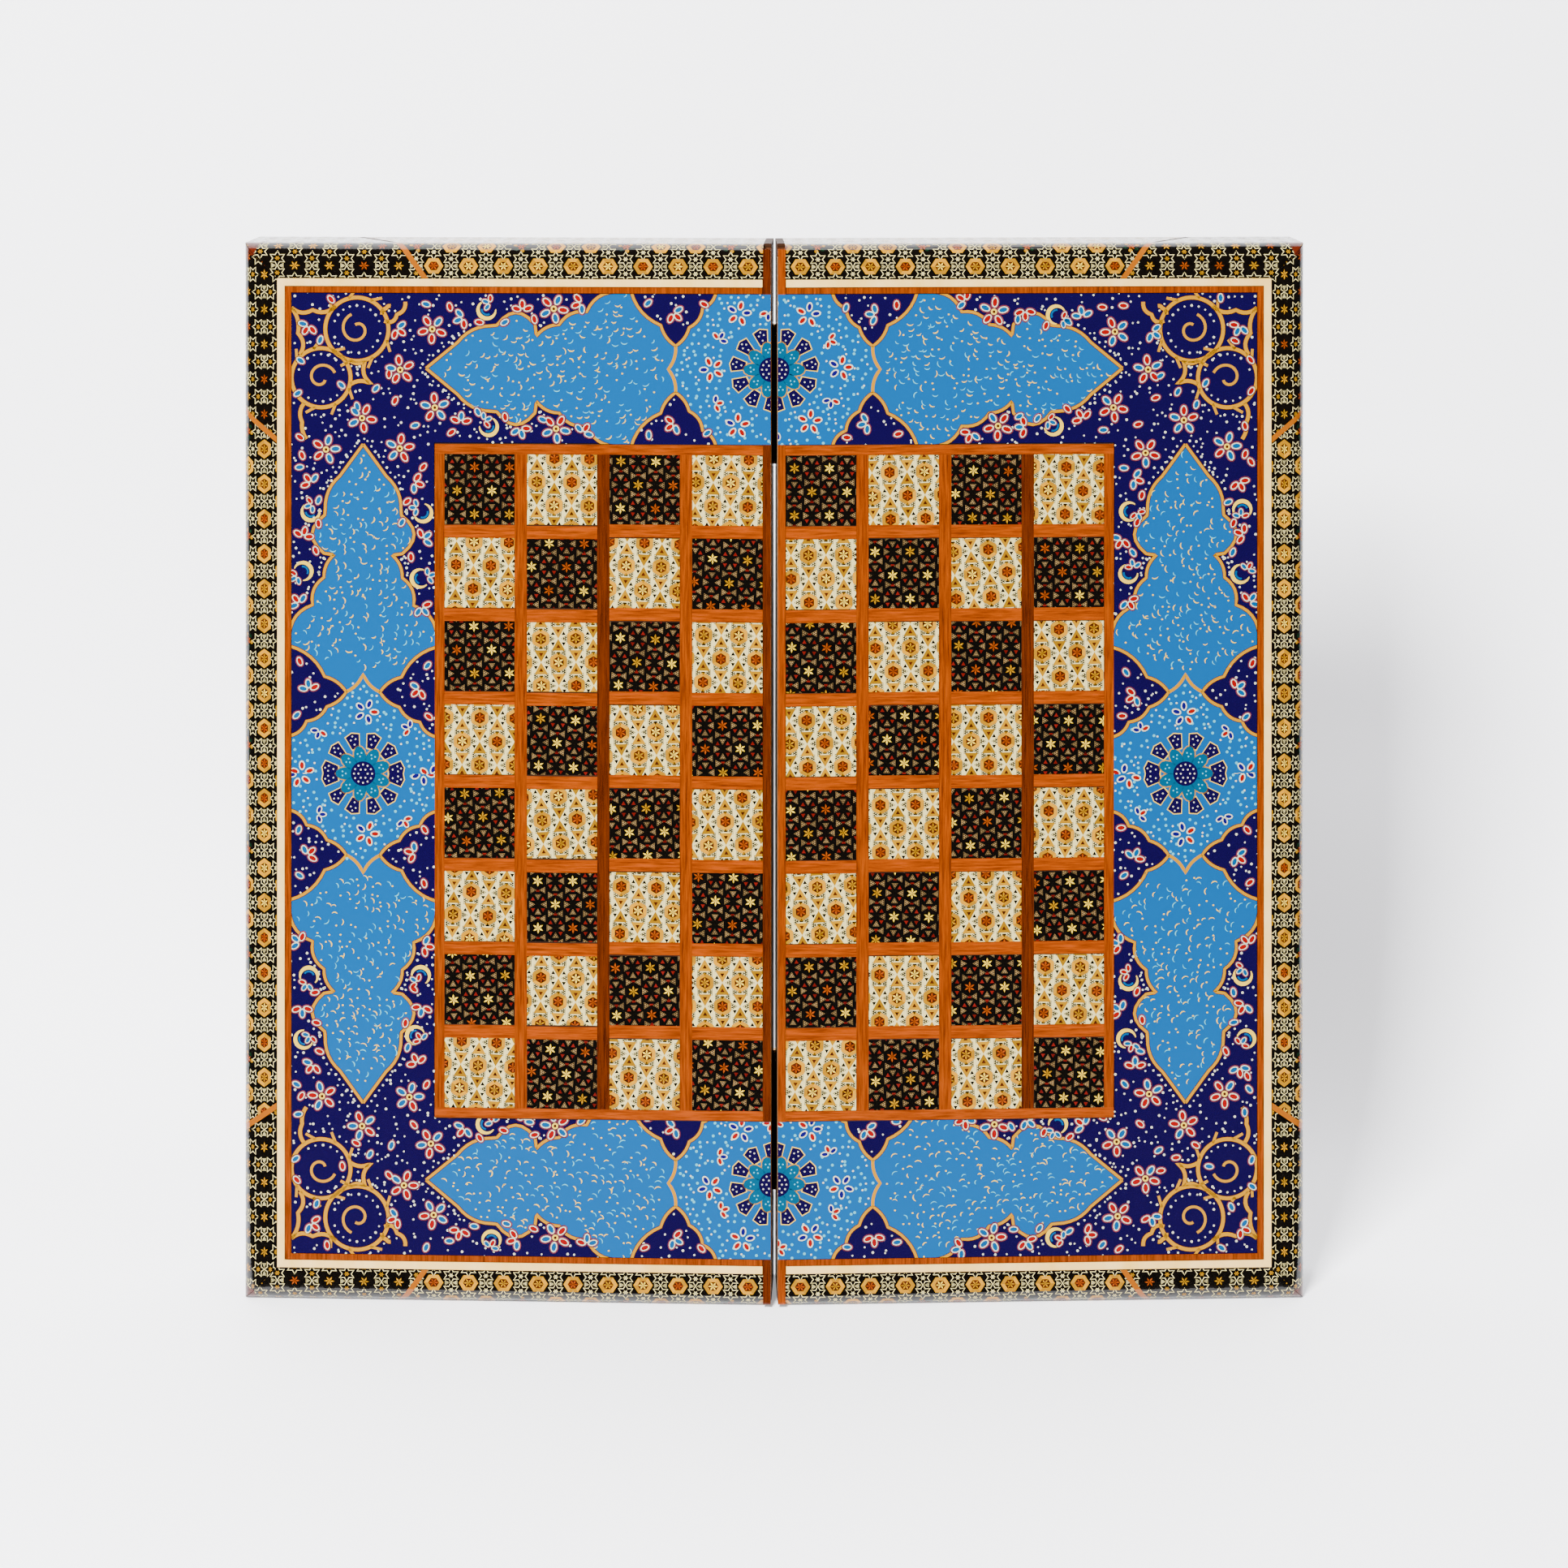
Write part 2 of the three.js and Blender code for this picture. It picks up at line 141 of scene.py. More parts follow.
@dataclass(frozen=True)
class Finish:
    """A surface of one colour under an optional lacquer."""

    name: str
    srgb: tuple[float, float, float]
    roughness: float = 0.4
    coat: float = 1.0
    metallic: float = 0.0
    gain: float = 1.0

    def colour(self) -> tuple[float, float, float, float]:
        """The linear colour with its gain, deepened by what lacquer there is.

        Returns:
            Red, green, blue and alpha.
        """
        power = 1.0 + (LACQUER_DEPTH - 1.0) * self.coat
        share = self.gain * (1.0 - LACQUER_LOSS * self.coat)
        r, g, b = (min(1.0, linear(c / 255) ** power * share) for c in self.srgb)
        return r, g, b, 1.0

    def material(self) -> bpy.types.Material:
        """Finds or makes the material.

        Returns:
            The material, whose own prefix keeps it apart from the CAD model's materials.
        """
        name = f"case_{self.name}"
        known = bpy.data.materials.get(name)
        if known:
            return known
        made = bpy.data.materials.new(name)
        made.use_nodes = True
        shader = made.node_tree.nodes["Principled BSDF"]
        shader.inputs["Base Color"].default_value = self.colour()
        shader.inputs["Roughness"].default_value = self.roughness
        shader.inputs["Metallic"].default_value = self.metallic
        shader.inputs["Coat Weight"].default_value = self.coat
        shader.inputs["Coat Roughness"].default_value = 0.13
        shader.inputs["Specular IOR Level"].default_value = 0.5 * (1.0 - self.coat)
        self.dress(made.node_tree, shader)
        return made

    def dress(self, tree: bpy.types.NodeTree, shader: bpy.types.Node) -> None:
        """Adds what a plain finish doesn't have.

        Args:
            tree: The material's node tree.
            shader: Its principled shader.
        """


@dataclass(frozen=True)
class Grain(Finish):
    """Wood whose pores run along one axis, mixed from a dark and a light colour."""

    dark: tuple[float, float, float] = (60, 25, 10)
    stretch: tuple[float, float, float] = (400.0, 400.0, 22.0)
    contrast: float = 1.0

    def dress(self, tree: bpy.types.NodeTree, shader: bpy.types.Node) -> None:
        """Adds stretched noise, slow bands and fine pores to the base colour.

        Args:
            tree: The material's node tree.
            shader: Its principled shader.
        """
        coords = tree.nodes.new("ShaderNodeTexCoord")
        mapping = tree.nodes.new("ShaderNodeMapping")
        mapping.inputs["Scale"].default_value = self.stretch
        noise = tree.nodes.new("ShaderNodeTexNoise")
        noise.inputs["Scale"].default_value = 1.0
        noise.inputs["Detail"].default_value = 6.0
        noise.inputs["Roughness"].default_value = 0.62
        ramp = tree.nodes.new("ShaderNodeValToRGB")
        ramp.color_ramp.elements[0].position = 0.5 - 0.2 / self.contrast
        ramp.color_ramp.elements[1].position = 0.5 + 0.2 / self.contrast
        shade = Finish("", self.dark, coat=self.coat).colour()
        ramp.color_ramp.elements[0].color = shade
        ramp.color_ramp.elements[1].color = self.colour()
        tree.links.new(coords.outputs["Object"], mapping.inputs["Vector"])
        tree.links.new(mapping.outputs["Vector"], noise.inputs["Vector"])
        tree.links.new(noise.outputs["Fac"], ramp.inputs["Fac"])
        tree.links.new(ramp.outputs["Color"], shader.inputs["Base Color"])


@dataclass(frozen=True)
class Palette:
    """The finishes of the small inlaid or painted shapes, with a few shades of each tone."""

    prefix: str
    roughness: float = 0.42
    coat: float = 1.0

    def finish(self, index: int) -> Finish:
        """The finish of one shade.

        Args:
            index: The tone's index times the number of variants, plus the variant.

        Returns:
            The finish.
        """
        tone = list(Tone)[index // VARIANTS]
        variant = index % VARIANTS
        name = f"{self.prefix}_{tone.name.lower()}_{variant}"
        return Finish(name, tone.value, self.roughness, self.coat, 0.0, VARIANT_GAIN[variant])


INLAY = Palette("khatam")
PAINT = Palette("paint", roughness=0.38)
GRAIN_UP = (1100.0, 1100.0, 60.0)
GRAIN_ACROSS = (60.0, 1100.0, 1100.0)
WALNUT = Grain("walnut", (104, 54, 26), 0.42, 0.5, dark=(54, 24, 12), stretch=(220.0, 220.0, 12.0))
RAW_WALNUT = Grain("raw_walnut", (84, 48, 28), 0.75, 0.1, dark=(48, 26, 14), stretch=(220.0, 220.0, 12.0))
FIELD = Grain("field_walnut", (122, 66, 32), 0.42, 0.7, dark=(72, 34, 16), stretch=(150.0, 150.0, 9.0))
PLYWOOD = Grain("plywood", (196, 158, 110), 0.7, 0.0, dark=(160, 120, 78), stretch=(90.0, 400.0, 30.0))
UPRIGHT = Grain("orange_wood_upright", (170, 100, 0), 0.38, dark=(115, 65, 5), stretch=GRAIN_UP)
ACROSS = Grain("orange_wood_across", (180, 105, 0), 0.38, dark=(125, 70, 5), stretch=GRAIN_ACROSS)
DARK_UPRIGHT = Grain("brown_wood_upright", (130, 75, 10), 0.38, dark=(90, 45, 20), stretch=GRAIN_UP)
BONE_LINE = Grain("bone_line", (240, 215, 165), 0.35, dark=(230, 200, 125), stretch=(60.0, 60.0, 40.0))
SUBSTRATE = Finish("glue_line", (40, 22, 12), 0.8, 0.0)
NAVY = Finish("paint_navy_ground", Tone.NAVY.value, 0.38)
BRASS = Finish("brass", (214, 164, 84), 0.26, 0.0, 1.0)


@dataclass
class Shards:
    """Flat triangles, each with a code for its level and its shade."""

    tri: np.ndarray
    tone: np.ndarray

    @classmethod
    def join(cls, parts: list["Shards"]) -> "Shards":
        """Puts several sets together.

        Args:
            parts: The sets.

        Returns:
            One set with all their triangles.
        """
        full = [p for p in parts if len(p.tri)]
        if not full:
            return cls(np.zeros((0, 3, 2)), np.zeros(0, int))
        return cls(np.concatenate([p.tri for p in full]), np.concatenate([p.tone for p in full]))

    @classmethod
    def of(
        cls, triangles: np.ndarray, tone: Tone, rng: np.random.Generator | None = None, level: int = 0
    ) -> "Shards":
        """Triangles of one tone, in the middle shade or in shades picked at random.

        Args:
            triangles: An array whose last axes are corner and coordinate.
            tone: Their tone.
            rng: The source of the shades, or None for the middle one.
            level: How many steps they lie over the lowest shards.

        Returns:
            The set.
        """
        tri = np.asarray(triangles, float).reshape(-1, 3, 2)
        shade = np.ones(len(tri), int) if rng is None else rng.integers(0, VARIANTS, len(tri))
        return cls(tri, level * LEVEL + tone.index * VARIANTS + shade)

    def clip(self, normal: tuple[float, float], limit: float) -> "Shards":
        """Keeps what lies on one side of a straight line.

        A triangle that crosses the line is cut, and what is left of it is one or two triangles.

        Args:
            normal: The direction in which the line bounds the shards.
            limit: The line's distance along the normal.

        Returns:
            The shards where the position along the normal is under the limit.
        """
        over = self.tri @ np.asarray(normal, float) - limit
        inside = over <= 1e-9
        count = inside.sum(1)
        whole = count == 3
        parts = [Shards(self.tri[whole], self.tone[whole])]
        for wanted in (1, 2):
            pick = count == wanted
            odd = np.argmax(inside[pick] if wanted == 1 else ~inside[pick], axis=1)
            order = (odd[:, None] + np.arange(3)) % 3
            tri = np.take_along_axis(self.tri[pick], order[:, :, None], 1)
            far = np.take_along_axis(over[pick], order, 1)
            a, b, c = tri[:, 0], tri[:, 1], tri[:, 2]
            ab = a + (b - a) * (far[:, 0] / (far[:, 0] - far[:, 1]))[:, None]
            ac = a + (c - a) * (far[:, 0] / (far[:, 0] - far[:, 2]))[:, None]
            tone = self.tone[pick]
            if wanted == 1:
                parts.append(Shards(np.stack([a, ab, ac], 1), tone))
            else:
                parts.append(Shards(np.stack([ab, b, c], 1), tone))
                parts.append(Shards(np.stack([ab, c, ac], 1), tone))
        return Shards.join(parts).solid()

    def solid(self) -> "Shards":
        """Drops triangles with hardly any area, and turns the others anticlockwise.

        Returns:
            The cleaned set.
        """
        e, f = self.tri[:, 1] - self.tri[:, 0], self.tri[:, 2] - self.tri[:, 0]
        area = e[:, 0] * f[:, 1] - e[:, 1] * f[:, 0]
        tri = np.where((area < 0)[:, None, None], self.tri[:, ::-1], self.tri)
        keep = np.abs(area) > 1e-4
        return Shards(tri[keep], self.tone[keep])

    def within(self, x0: float, x1: float, y0: float, y1: float) -> "Shards":
        """Keeps what lies in a rectangle.

        Args:
            x0: The least first coordinate.
            x1: The greatest first coordinate.
            y0: The least second coordinate.
            y1: The greatest second coordinate.

        Returns:
            The clipped shards.
        """
        near = self.tri.min(1), self.tri.max(1)
        keep = (near[1][:, 0] > x0) & (near[0][:, 0] < x1) & (near[1][:, 1] > y0) & (near[0][:, 1] < y1)
        some = Shards(self.tri[keep], self.tone[keep])
        for normal, limit in (((-1, 0), -x0), ((1, 0), x1), ((0, -1), -y0), ((0, 1), y1)):
            some = some.clip(normal, limit)
        return some

    def mirrored(self, axis: int, about: float = 0.0) -> "Shards":
        """Mirrors the shards.

        Args:
            axis: 0 or 1, the coordinate that changes.
            about: The coordinate's value that stays.

        Returns:
            The mirrored shards.
        """
        tri = self.tri.copy()
        tri[..., axis] = 2 * about - tri[..., axis]
        return Shards(tri[:, ::-1], self.tone)

    def sliced(self, levels: np.ndarray) -> list["Shards"]:
        """Cuts the shards into bands of the second coordinate.

        Args:
            levels: The band limits in rising order.

        Returns:
            One set for each band.
        """
        return [self.clip((0, -1), -a).clip((0, 1), b) for a, b in zip(levels[:-1], levels[1:])]


def turn(points: np.ndarray, angle: np.ndarray | float) -> np.ndarray:
    """Turns flat points about the origin.

    Args:
        points: An array whose last axis is the coordinate.
        angle: The angle in radians, one number or an array that fits the points.

    Returns:
        The turned points.
    """
    c, s = np.cos(angle), np.sin(angle)
    x, y = points[..., 0], points[..., 1]
    return np.stack([c * x - s * y, s * x + c * y], -1)


def ring(count: int, radius: float, phase: float = 0.0) -> np.ndarray:
    """Points evenly spaced on a circle.

    Args:
        count: How many.
        radius: The circle's radius.
        phase: The first point's angle.

    Returns:
        The points.
    """
    angle = phase + FULL_TURN * np.arange(count) / count
    return radius * np.stack([np.cos(angle), np.sin(angle)], -1)


def fan(outline: np.ndarray) -> np.ndarray:
    """Triangles from an outline's middle to its sides.

    Args:
        outline: Points of a shape that its middle sees whole, on the second-last axis.

    Returns:
        The triangles.
    """
    middle = outline.mean(-2, keepdims=True)
    return np.stack([np.broadcast_to(middle, outline.shape), outline, np.roll(outline, -1, -2)], -2)


def between(outer: np.ndarray, inner: np.ndarray) -> np.ndarray:
    """Triangles that fill the space between two outlines with the same number of points.

    Args:
        outer: The outer outline.
        inner: The inner outline.

    Returns:
        The triangles.
    """
    nxt_o, nxt_i = np.roll(outer, -1, 0), np.roll(inner, -1, 0)
    return np.concatenate([np.stack([outer, nxt_o, nxt_i], 1), np.stack([outer, nxt_i, inner], 1)])


@dataclass(frozen=True)
class KhatamStyle:
    """The tones of one kind of inlay."""

    ground: Tone
    rim: Tone
    hub: Tone
    petals: tuple[Tone, ...]
    dotted: tuple[Tone, Tone]
    spark: Tone
    heart: Tone | None = None
    eye: Tone | None = None
    star: Tone | None = None
    knot: Tone | None = None
    phase: float = math.pi / 6
    hub_share: float = 0.52
    dot_share: float = 0.7


LIGHT_TILE = KhatamStyle(
    Tone.BONE, Tone.YELLOW, Tone.BROWN, (Tone.GOLD, Tone.ORANGE, Tone.CREAM, Tone.ORANGE),
    (Tone.BLACK, Tone.BONE), Tone.BLACK, heart=Tone.GOLD, eye=Tone.BROWN, hub_share=0.6, dot_share=0.72,
)
DARK_TILE = KhatamStyle(
    Tone.BLACK, Tone.BLACK, Tone.BLACK, (Tone.CREAM, Tone.CREAM, Tone.GOLD, Tone.ORANGE),
    (Tone.ASH, Tone.BLACK), Tone.RED, hub_share=0.6, dot_share=0.98,
)
GOLD_BORDER = KhatamStyle(
    Tone.BLACK, Tone.YELLOW, Tone.BROWN, (Tone.CREAM, Tone.GOLD, Tone.ORANGE), (Tone.BONE, Tone.BLACK),
    Tone.GREEN, star=Tone.BONE, knot=Tone.BONE, phase=0.0, hub_share=0.56, dot_share=0.95,
)
STAR_BORDER = KhatamStyle(
    Tone.BLACK, Tone.BLACK, Tone.BLACK, (Tone.YELLOW, Tone.GOLD, Tone.ORANGE), (Tone.BONE, Tone.BLACK),
    Tone.BLACK, star=Tone.BONE, knot=Tone.GOLD, phase=0.0, hub_share=0.56, dot_share=0.95,
)


@dataclass
class Khatam:
    """Inlay of small rods cut across, in rows of rosettes with smaller motifs between them.

    A rosette is a hexagon with a six-petalled star, ringed by dotted triangles. Rosettes stand a pitch
    apart in a row, and each row is half a pitch off the last. Between two of a row lie two motifs, one
    over the other: either triangles with an eye, or white stars with a knot.
    """

    style: KhatamStyle
    pitch: float = 16.5
    row: float = 11.1
    radius: float = 4.6
    side_motif: float = 3.8
    seed: int = 1
    gaps: bool = False

    def triangle(self, at: np.ndarray, radius: float, angle: np.ndarray | float) -> np.ndarray:
        """Equal-sided triangles.

        Args:
            at: Their middles.
            radius: The distance from middle to corner.
            angle: The direction of the first corner.

        Returns:
            The triangles.
        """
        base = np.broadcast_to(ring(3, radius), (len(at), 3, 2))
        return turn(base, np.broadcast_to(angle, len(at))[:, None]) + at[:, None]

    def dots(self, at: np.ndarray, radius: float, angle: np.ndarray | float, level: int) -> list[tuple]:
        """Triangles with six small ones of another tone in them.

        Args:
            at: Their middles.
            radius: The distance from middle to corner.
            angle: The direction of the first corner.
            level: The level of the whole triangle. The small ones lie one above.

        Returns:
            Triangles, tone and level.
        """
        first, second = self.style.dotted
        whole = self.triangle(at, radius, angle)
        middle = whole.mean(1, keepdims=True)
        a, b, c = (whole[:, k] for k in range(3))
        up, down = (b - a) / 3, (c - a) / 3
        cells = [(i, j) for i in range(3) for j in range(3 - i)]
        small = np.concatenate([
            np.stack([a + i * up + j * down + k for k in (0 * up, up, down)], 1) for i, j in cells
        ])
        small = small.mean(1, keepdims=True) + (small - small.mean(1, keepdims=True)) * self.style.dot_share
        small = np.tile(middle, (len(cells), 1, 1)) * 0.12 + small * 0.88
        return [(whole, first, level), (small, second, level + 1)]

    def flower(self, radius: float, share: float = 0.4) -> np.ndarray:
        """Six narrow petals round the origin.

        Args:
            radius: Their length.
            share: Their width as a share of what would make them touch.

        Returns:
            The triangles.
        """
        tip = ring(6, radius, self.style.phase)
        waist = 0.58 * radius
        left = ring(6, waist, self.style.phase + share * 0.62)
        right = ring(6, waist, self.style.phase - share * 0.9)
        centre = np.zeros_like(tip)
        return np.concatenate([np.stack([centre, right, tip], 1), np.stack([centre, tip, left], 1)])

    def rosette(self) -> list[tuple]:
        """The hexagon, its star and the dotted triangles round it, at the origin.

        Returns:
            Triangles, tone and level. The tone is None for petals.
        """
        s = self.style
        made = [(fan(ring(6, self.radius, s.phase)), s.rim, 1)]
        made.append((fan(ring(6, self.radius * s.hub_share, s.phase)), s.hub, 2))
        made.append((self.flower(self.radius * s.hub_share * 0.95), None, 3))
        if s.star is None:
            angle = s.phase + math.pi / 6 + FULL_TURN * np.arange(6) / 6
            at = (self.radius * 0.866 + 1.05) * np.stack([np.cos(angle), np.sin(angle)], -1)
            made += self.dots(at, 1.95 if s.heart else 1.78, angle, 1)
        else:
            at = np.array([[self.radius + 1.5, 0.0], [-self.radius - 1.5, 0.0]])
            made += self.dots(at, 1.5, np.array([0.0, math.pi]), 1)
        return made

    def motifs(self) -> list[tuple]:
        """The two motifs half a pitch along from the origin.

        Returns:
            Triangles, tone and level.
        """
        s = self.style
        made = []
        for sign in (-1, 1):
            at = np.array([[self.pitch / 2, sign * self.side_motif]])
            point = -sign * math.pi / 2
            if s.star is None:
                made += self.heart(at, point)
            else:
                made += self.starlet(at[0])
        return made

    def heart(self, at: np.ndarray, point: float) -> list[tuple]:
        """A triangle with an eye or dots, and three sparks against its sides.

        Args:
            at: Its middle, in an array of one.
            point: The direction of its first corner.

        Returns:
            Triangles, tone and level.
        """
        s = self.style
        angle = point + math.pi / 3 + FULL_TURN * np.arange(3) / 3
        reach = 2.95 if s.heart else 2.75
        sparks = at + reach * np.stack([np.cos(angle), np.sin(angle)], -1)
        made = [(self.triangle(sparks, 1.15, angle), s.spark, 1)]
        if s.heart is None:
            return made + self.dots(at, 1.7, point, 1)
        made.append((self.triangle(at, 3.75, point), s.heart, 1))
        made.append((self.triangle(at, 1.15, point), s.eye, 2))
        return made

    def starlet(self, at: np.ndarray) -> list[tuple]:
        """A white six-pointed star line round a knot.

        Args:
            at: Its middle.

        Returns:
            Triangles, tone and level.
        """
        s = self.style
        tips, waists = ring(6, 4.2, math.pi / 6), ring(6, 2.35, math.pi / 3)
        line = np.stack([tips, waists], 1).reshape(12, 2)
        made = [(between(line, line * np.where(np.arange(12)[:, None] % 2, 0.8, 0.88)) + at, s.star, 1)]
        made.append((self.flower(1.35, 0.5) + at, s.knot, 2))
        return made

    def cell(self, bare: bool = False) -> tuple[np.ndarray, np.ndarray]:
        """One repeating cell.

        Args:
            bare: True for a cell whose rosette is a dark field with discs.

        Returns:
            The triangles and their codes. A petal's code is negative.
        """
        made = self.motifs() + ([] if bare else self.rosette())
        if bare:
            spots = ring(6, 3.0, 0.3)
            discs = fan(ring(7, 1.0)[None] + spots[:, None])
            made.append((discs[::2], Tone.GOLD, 1))
            made.append((discs[1::2], Tone.GREEN, 1))
            made.append((self.flower(2.4, 0.5), Tone.ORANGE, 2))
        tri = np.concatenate([t.reshape(-1, 3, 2) for t, _, _ in made])
        codes = []
        for shapes, tone, level in made:
            code = -level if tone is None else level * LEVEL + tone.index * VARIANTS
            codes.append(np.full(shapes.reshape(-1, 3, 2).shape[0], code))
        return tri, np.concatenate(codes)

    def fill(
        self, x0: float, x1: float, y0: float, y1: float, angle: float = 0.0,
        origin: tuple[float, float] = (0.0, 0.0), squeeze: float = 1.0,
    ) -> Shards:
        """Covers a rectangle.

        Args:
            x0: The least first coordinate.
            x1: The greatest first coordinate.
            y0: The least second coordinate.
            y1: The greatest second coordinate.
            angle: How far the inlay is turned, in radians.
            origin: Where one rosette's centre lies.
            squeeze: The share of its size that the inlay keeps along the second coordinate.

        Returns:
            The shards.
        """
        rng = np.random.default_rng(self.seed)
        scale = np.array([1.0, squeeze])
        start = np.asarray(origin, float)
        reach = math.hypot(x1 - x0, (y1 - y0) / squeeze)
        count = int(reach / self.row) + 3
        i, j = np.meshgrid(np.arange(-count, count + 1), np.arange(-count, count + 1))
        i, j = i.ravel(), j.ravel()
        spots = np.stack([(i + 0.5 * (j % 2)) * self.pitch, j * self.row], -1)
        placed = turn(spots, angle) * scale + start
        reachable = 14.0
        near = (placed[:, 0] > x0 - reachable) & (placed[:, 0] < x1 + reachable)
        near &= (placed[:, 1] > y0 - reachable) & (placed[:, 1] < y1 + reachable)
        spots, i, j = spots[near], i[near], j[near]
        bare = (j % 2 == 1) & (i % 3 == 0) if self.gaps else np.zeros(len(i), bool)
        every, codes = [], []
        for choice in (False, True):
            some = spots[bare == choice]
            if not len(some):
                continue
            tri, code = self.cell(choice)
            every.append((tri[None] + some[:, None, None, :]).reshape(-1, 3, 2))
            tones = np.array([t.index for t in self.style.petals])
            tone = tones[rng.integers(0, len(tones), len(some))]
            code = np.tile(code, (len(some), 1))
            petal = -code * LEVEL + tone[:, None] * VARIANTS
            codes.append(np.where(code < 0, petal, code).ravel())
        tri = turn(np.concatenate(every), angle) * scale + start
        code = np.concatenate(codes)
        code = code + rng.integers(0, VARIANTS, len(code))
        ground = np.array([[[x0, y0], [x1, y0], [x1, y1]], [[x0, y0], [x1, y1], [x0, y1]]])
        shards = Shards(tri, code).solid().within(x0, x1, y0, y1)
        return Shards.join([Shards.of(ground, self.style.ground), shards])


@dataclass
class Tray:
    """One half of the case, and the way from its flat coordinates to the world."""

    side: Side
    axis_y: float
    made: list[bpy.types.Object] = field(default_factory=list)

    def world(self, local: np.ndarray) -> np.ndarray:
        """Places points of the flat tray in the world.

        The tray is mirrored for its side, then turned back from flat about the hinge axis.

        Args:
            local: Points (u, d, z) in millimetres.

        Returns:
            Points in metres.
        """
        sign = self.side.value
        x, y, z = sign * local[:, 0], local[:, 1] - HINGE_DEPTH, local[:, 2]
        c, s = math.cos(FOLD), sign * math.sin(FOLD)
        return np.stack([c * x - s * y, s * x + c * y + self.axis_y, z], -1) * MM

    def piece(
        self, name: str, corners: np.ndarray, finishes: list[Finish], index: np.ndarray,
        inward: bool = False,
    ) -> bpy.types.Object:
        """Makes one thin piece from triangles that lie on the tray.

        Each triangle is turned to face away from the middle of the tray's walls, or towards it.

        Args:
            name: The piece's name without its side.
            corners: Triangle corners (n, 3, 3) as (u, d, z) in millimetres.
            finishes: The piece's finishes.
            index: The finish of each triangle.
            inward: True for pieces in the hollow of the tray.

        Returns:
            The new object, riding on the tray.
        """
        flat = corners.reshape(-1, 3)
        keys, back = np.unique(np.round(flat, 4), axis=0, return_inverse=True)
        faces = back.reshape(-1, 3)
        points = self.world(keys)
        tri = points[faces]
        normal = np.cross(tri[:, 1] - tri[:, 0], tri[:, 2] - tri[:, 0])
        centre = corners.mean(1)
        core = np.clip(centre, [18.0, 12.0, 18.0], [232.0, 38.0, 482.0])
        hint = self.world(centre) - self.world(core)
        if inward:
            hint = np.broadcast_to(np.array([0.0, 1.0, 0.0]), hint.shape)
        wrong = (normal * hint).sum(1) < 0
        faces = np.where(wrong[:, None], faces[:, ::-1], faces)
        mesh = bpy.data.meshes.new(f"{self.side.label}_{name}")
        mesh.from_pydata(points, [], faces)
        for finish in finishes:
            mesh.materials.append(finish.material())
        mesh.polygons.foreach_set("material_index", np.asarray(index, np.int32))
        mesh.polygons.foreach_set("use_smooth", np.ones(len(faces), bool))
        mesh.update()
        made = bpy.data.objects.new(mesh.name, mesh)
        bpy.context.scene.collection.objects.link(made)
        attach(made, self.side.body)
        self.made.append(made)
        LOG.info("%s: %d faces", made.name, len(faces))
        return made

    def inlay(
        self, name: str, shards: Shards, lift: float, slot: str, palette: Palette = INLAY,
        depth: float | None = None,
    ) -> bpy.types.Object:
        """Lays flat shards on the board face, or on another plane of the tray.

        Args:
            name: The piece's name without its side.
            shards: The shards in (u, z).
            lift: Their height over the board face.
            slot: The material slot of the record; not used.
            palette: The palette of their tones.
            depth: The depth of a plane in the hollow, or None for the board face.

        Returns:
            The new object.
        """
        rise = (shards.tone // LEVEL * LEVEL_STEP)[:, None] * np.ones(3)
        d = -lift - rise if depth is None else depth + rise
        corners = np.stack([shards.tri[..., 0], d, shards.tri[..., 1]], -1)
        used, index = np.unique(shards.tone % LEVEL, return_inverse=True)
        finishes = [palette.finish(int(u)) for u in used]
        return self.piece(name, corners, finishes, index, inward=depth is not None)

    def sheet(
        self, name: str, boxes: list[tuple[float, float, float, float]], lift: float, finish: Finish,
        slot: str, depth: float | None = None,
    ) -> bpy.types.Object:
        """Lays rectangles of one finish on the board face or on a plane in the hollow.

        Args:
            name: The piece's name without its side.
            boxes: Rectangles as least u, greatest u, least z and greatest z.
            lift: Their height over the board face.
            finish: The finish.
            slot: The material slot of the record; not used.
            depth: The depth of a plane in the hollow, or None for the board face.

        Returns:
            The new object.
        """
        b = np.asarray(boxes, float)
        d = np.full(len(b), -lift if depth is None else depth)
        corner = [np.stack([b[:, i], d, b[:, j]], -1) for i, j in ((0, 2), (1, 2), (1, 3), (0, 3))]
        tri = np.concatenate([np.stack([corner[0], corner[1], corner[2]], 1),
                              np.stack([corner[0], corner[2], corner[3]], 1)])
        return self.piece(name, tri, [finish], np.zeros(len(tri), int), inward=depth is not None)


def blobs(
    at: np.ndarray, long: float, wide: float, angle: np.ndarray | float = 0.0, points: int = 12
) -> np.ndarray:
    """Filled ellipses.

    Args:
        at: Their middles.
        long: Half their length.
        wide: Half their width.
        angle: The direction of their length.
        points: The corners of each.

    Returns:
        The triangles.
    """
    at = np.asarray(at, float).reshape(-1, 2)
    outline = np.broadcast_to(ring(points, 1.0) * [long, wide], (len(at), points, 2))
    return fan(turn(outline, np.broadcast_to(angle, len(at))[:, None]) + at[:, None]).reshape(-1, 3, 2)


def ribbon(line: np.ndarray, width: np.ndarray | float) -> np.ndarray:
    """A band along a line.

    Args:
        line: The line's points.
        width: The band's width, one number or one for each point.

    Returns:
        The triangles.
    """
    run = np.gradient(line, axis=0)
    run /= np.maximum(np.linalg.norm(run, axis=1, keepdims=True), 1e-9)
    across = np.stack([-run[:, 1], run[:, 0]], 1) * np.broadcast_to(width, len(line))[:, None] / 2
    a, b = line + across, line - across
    return np.concatenate([np.stack([a[:-1], a[1:], b[1:]], 1), np.stack([a[:-1], b[1:], b[:-1]], 1)])


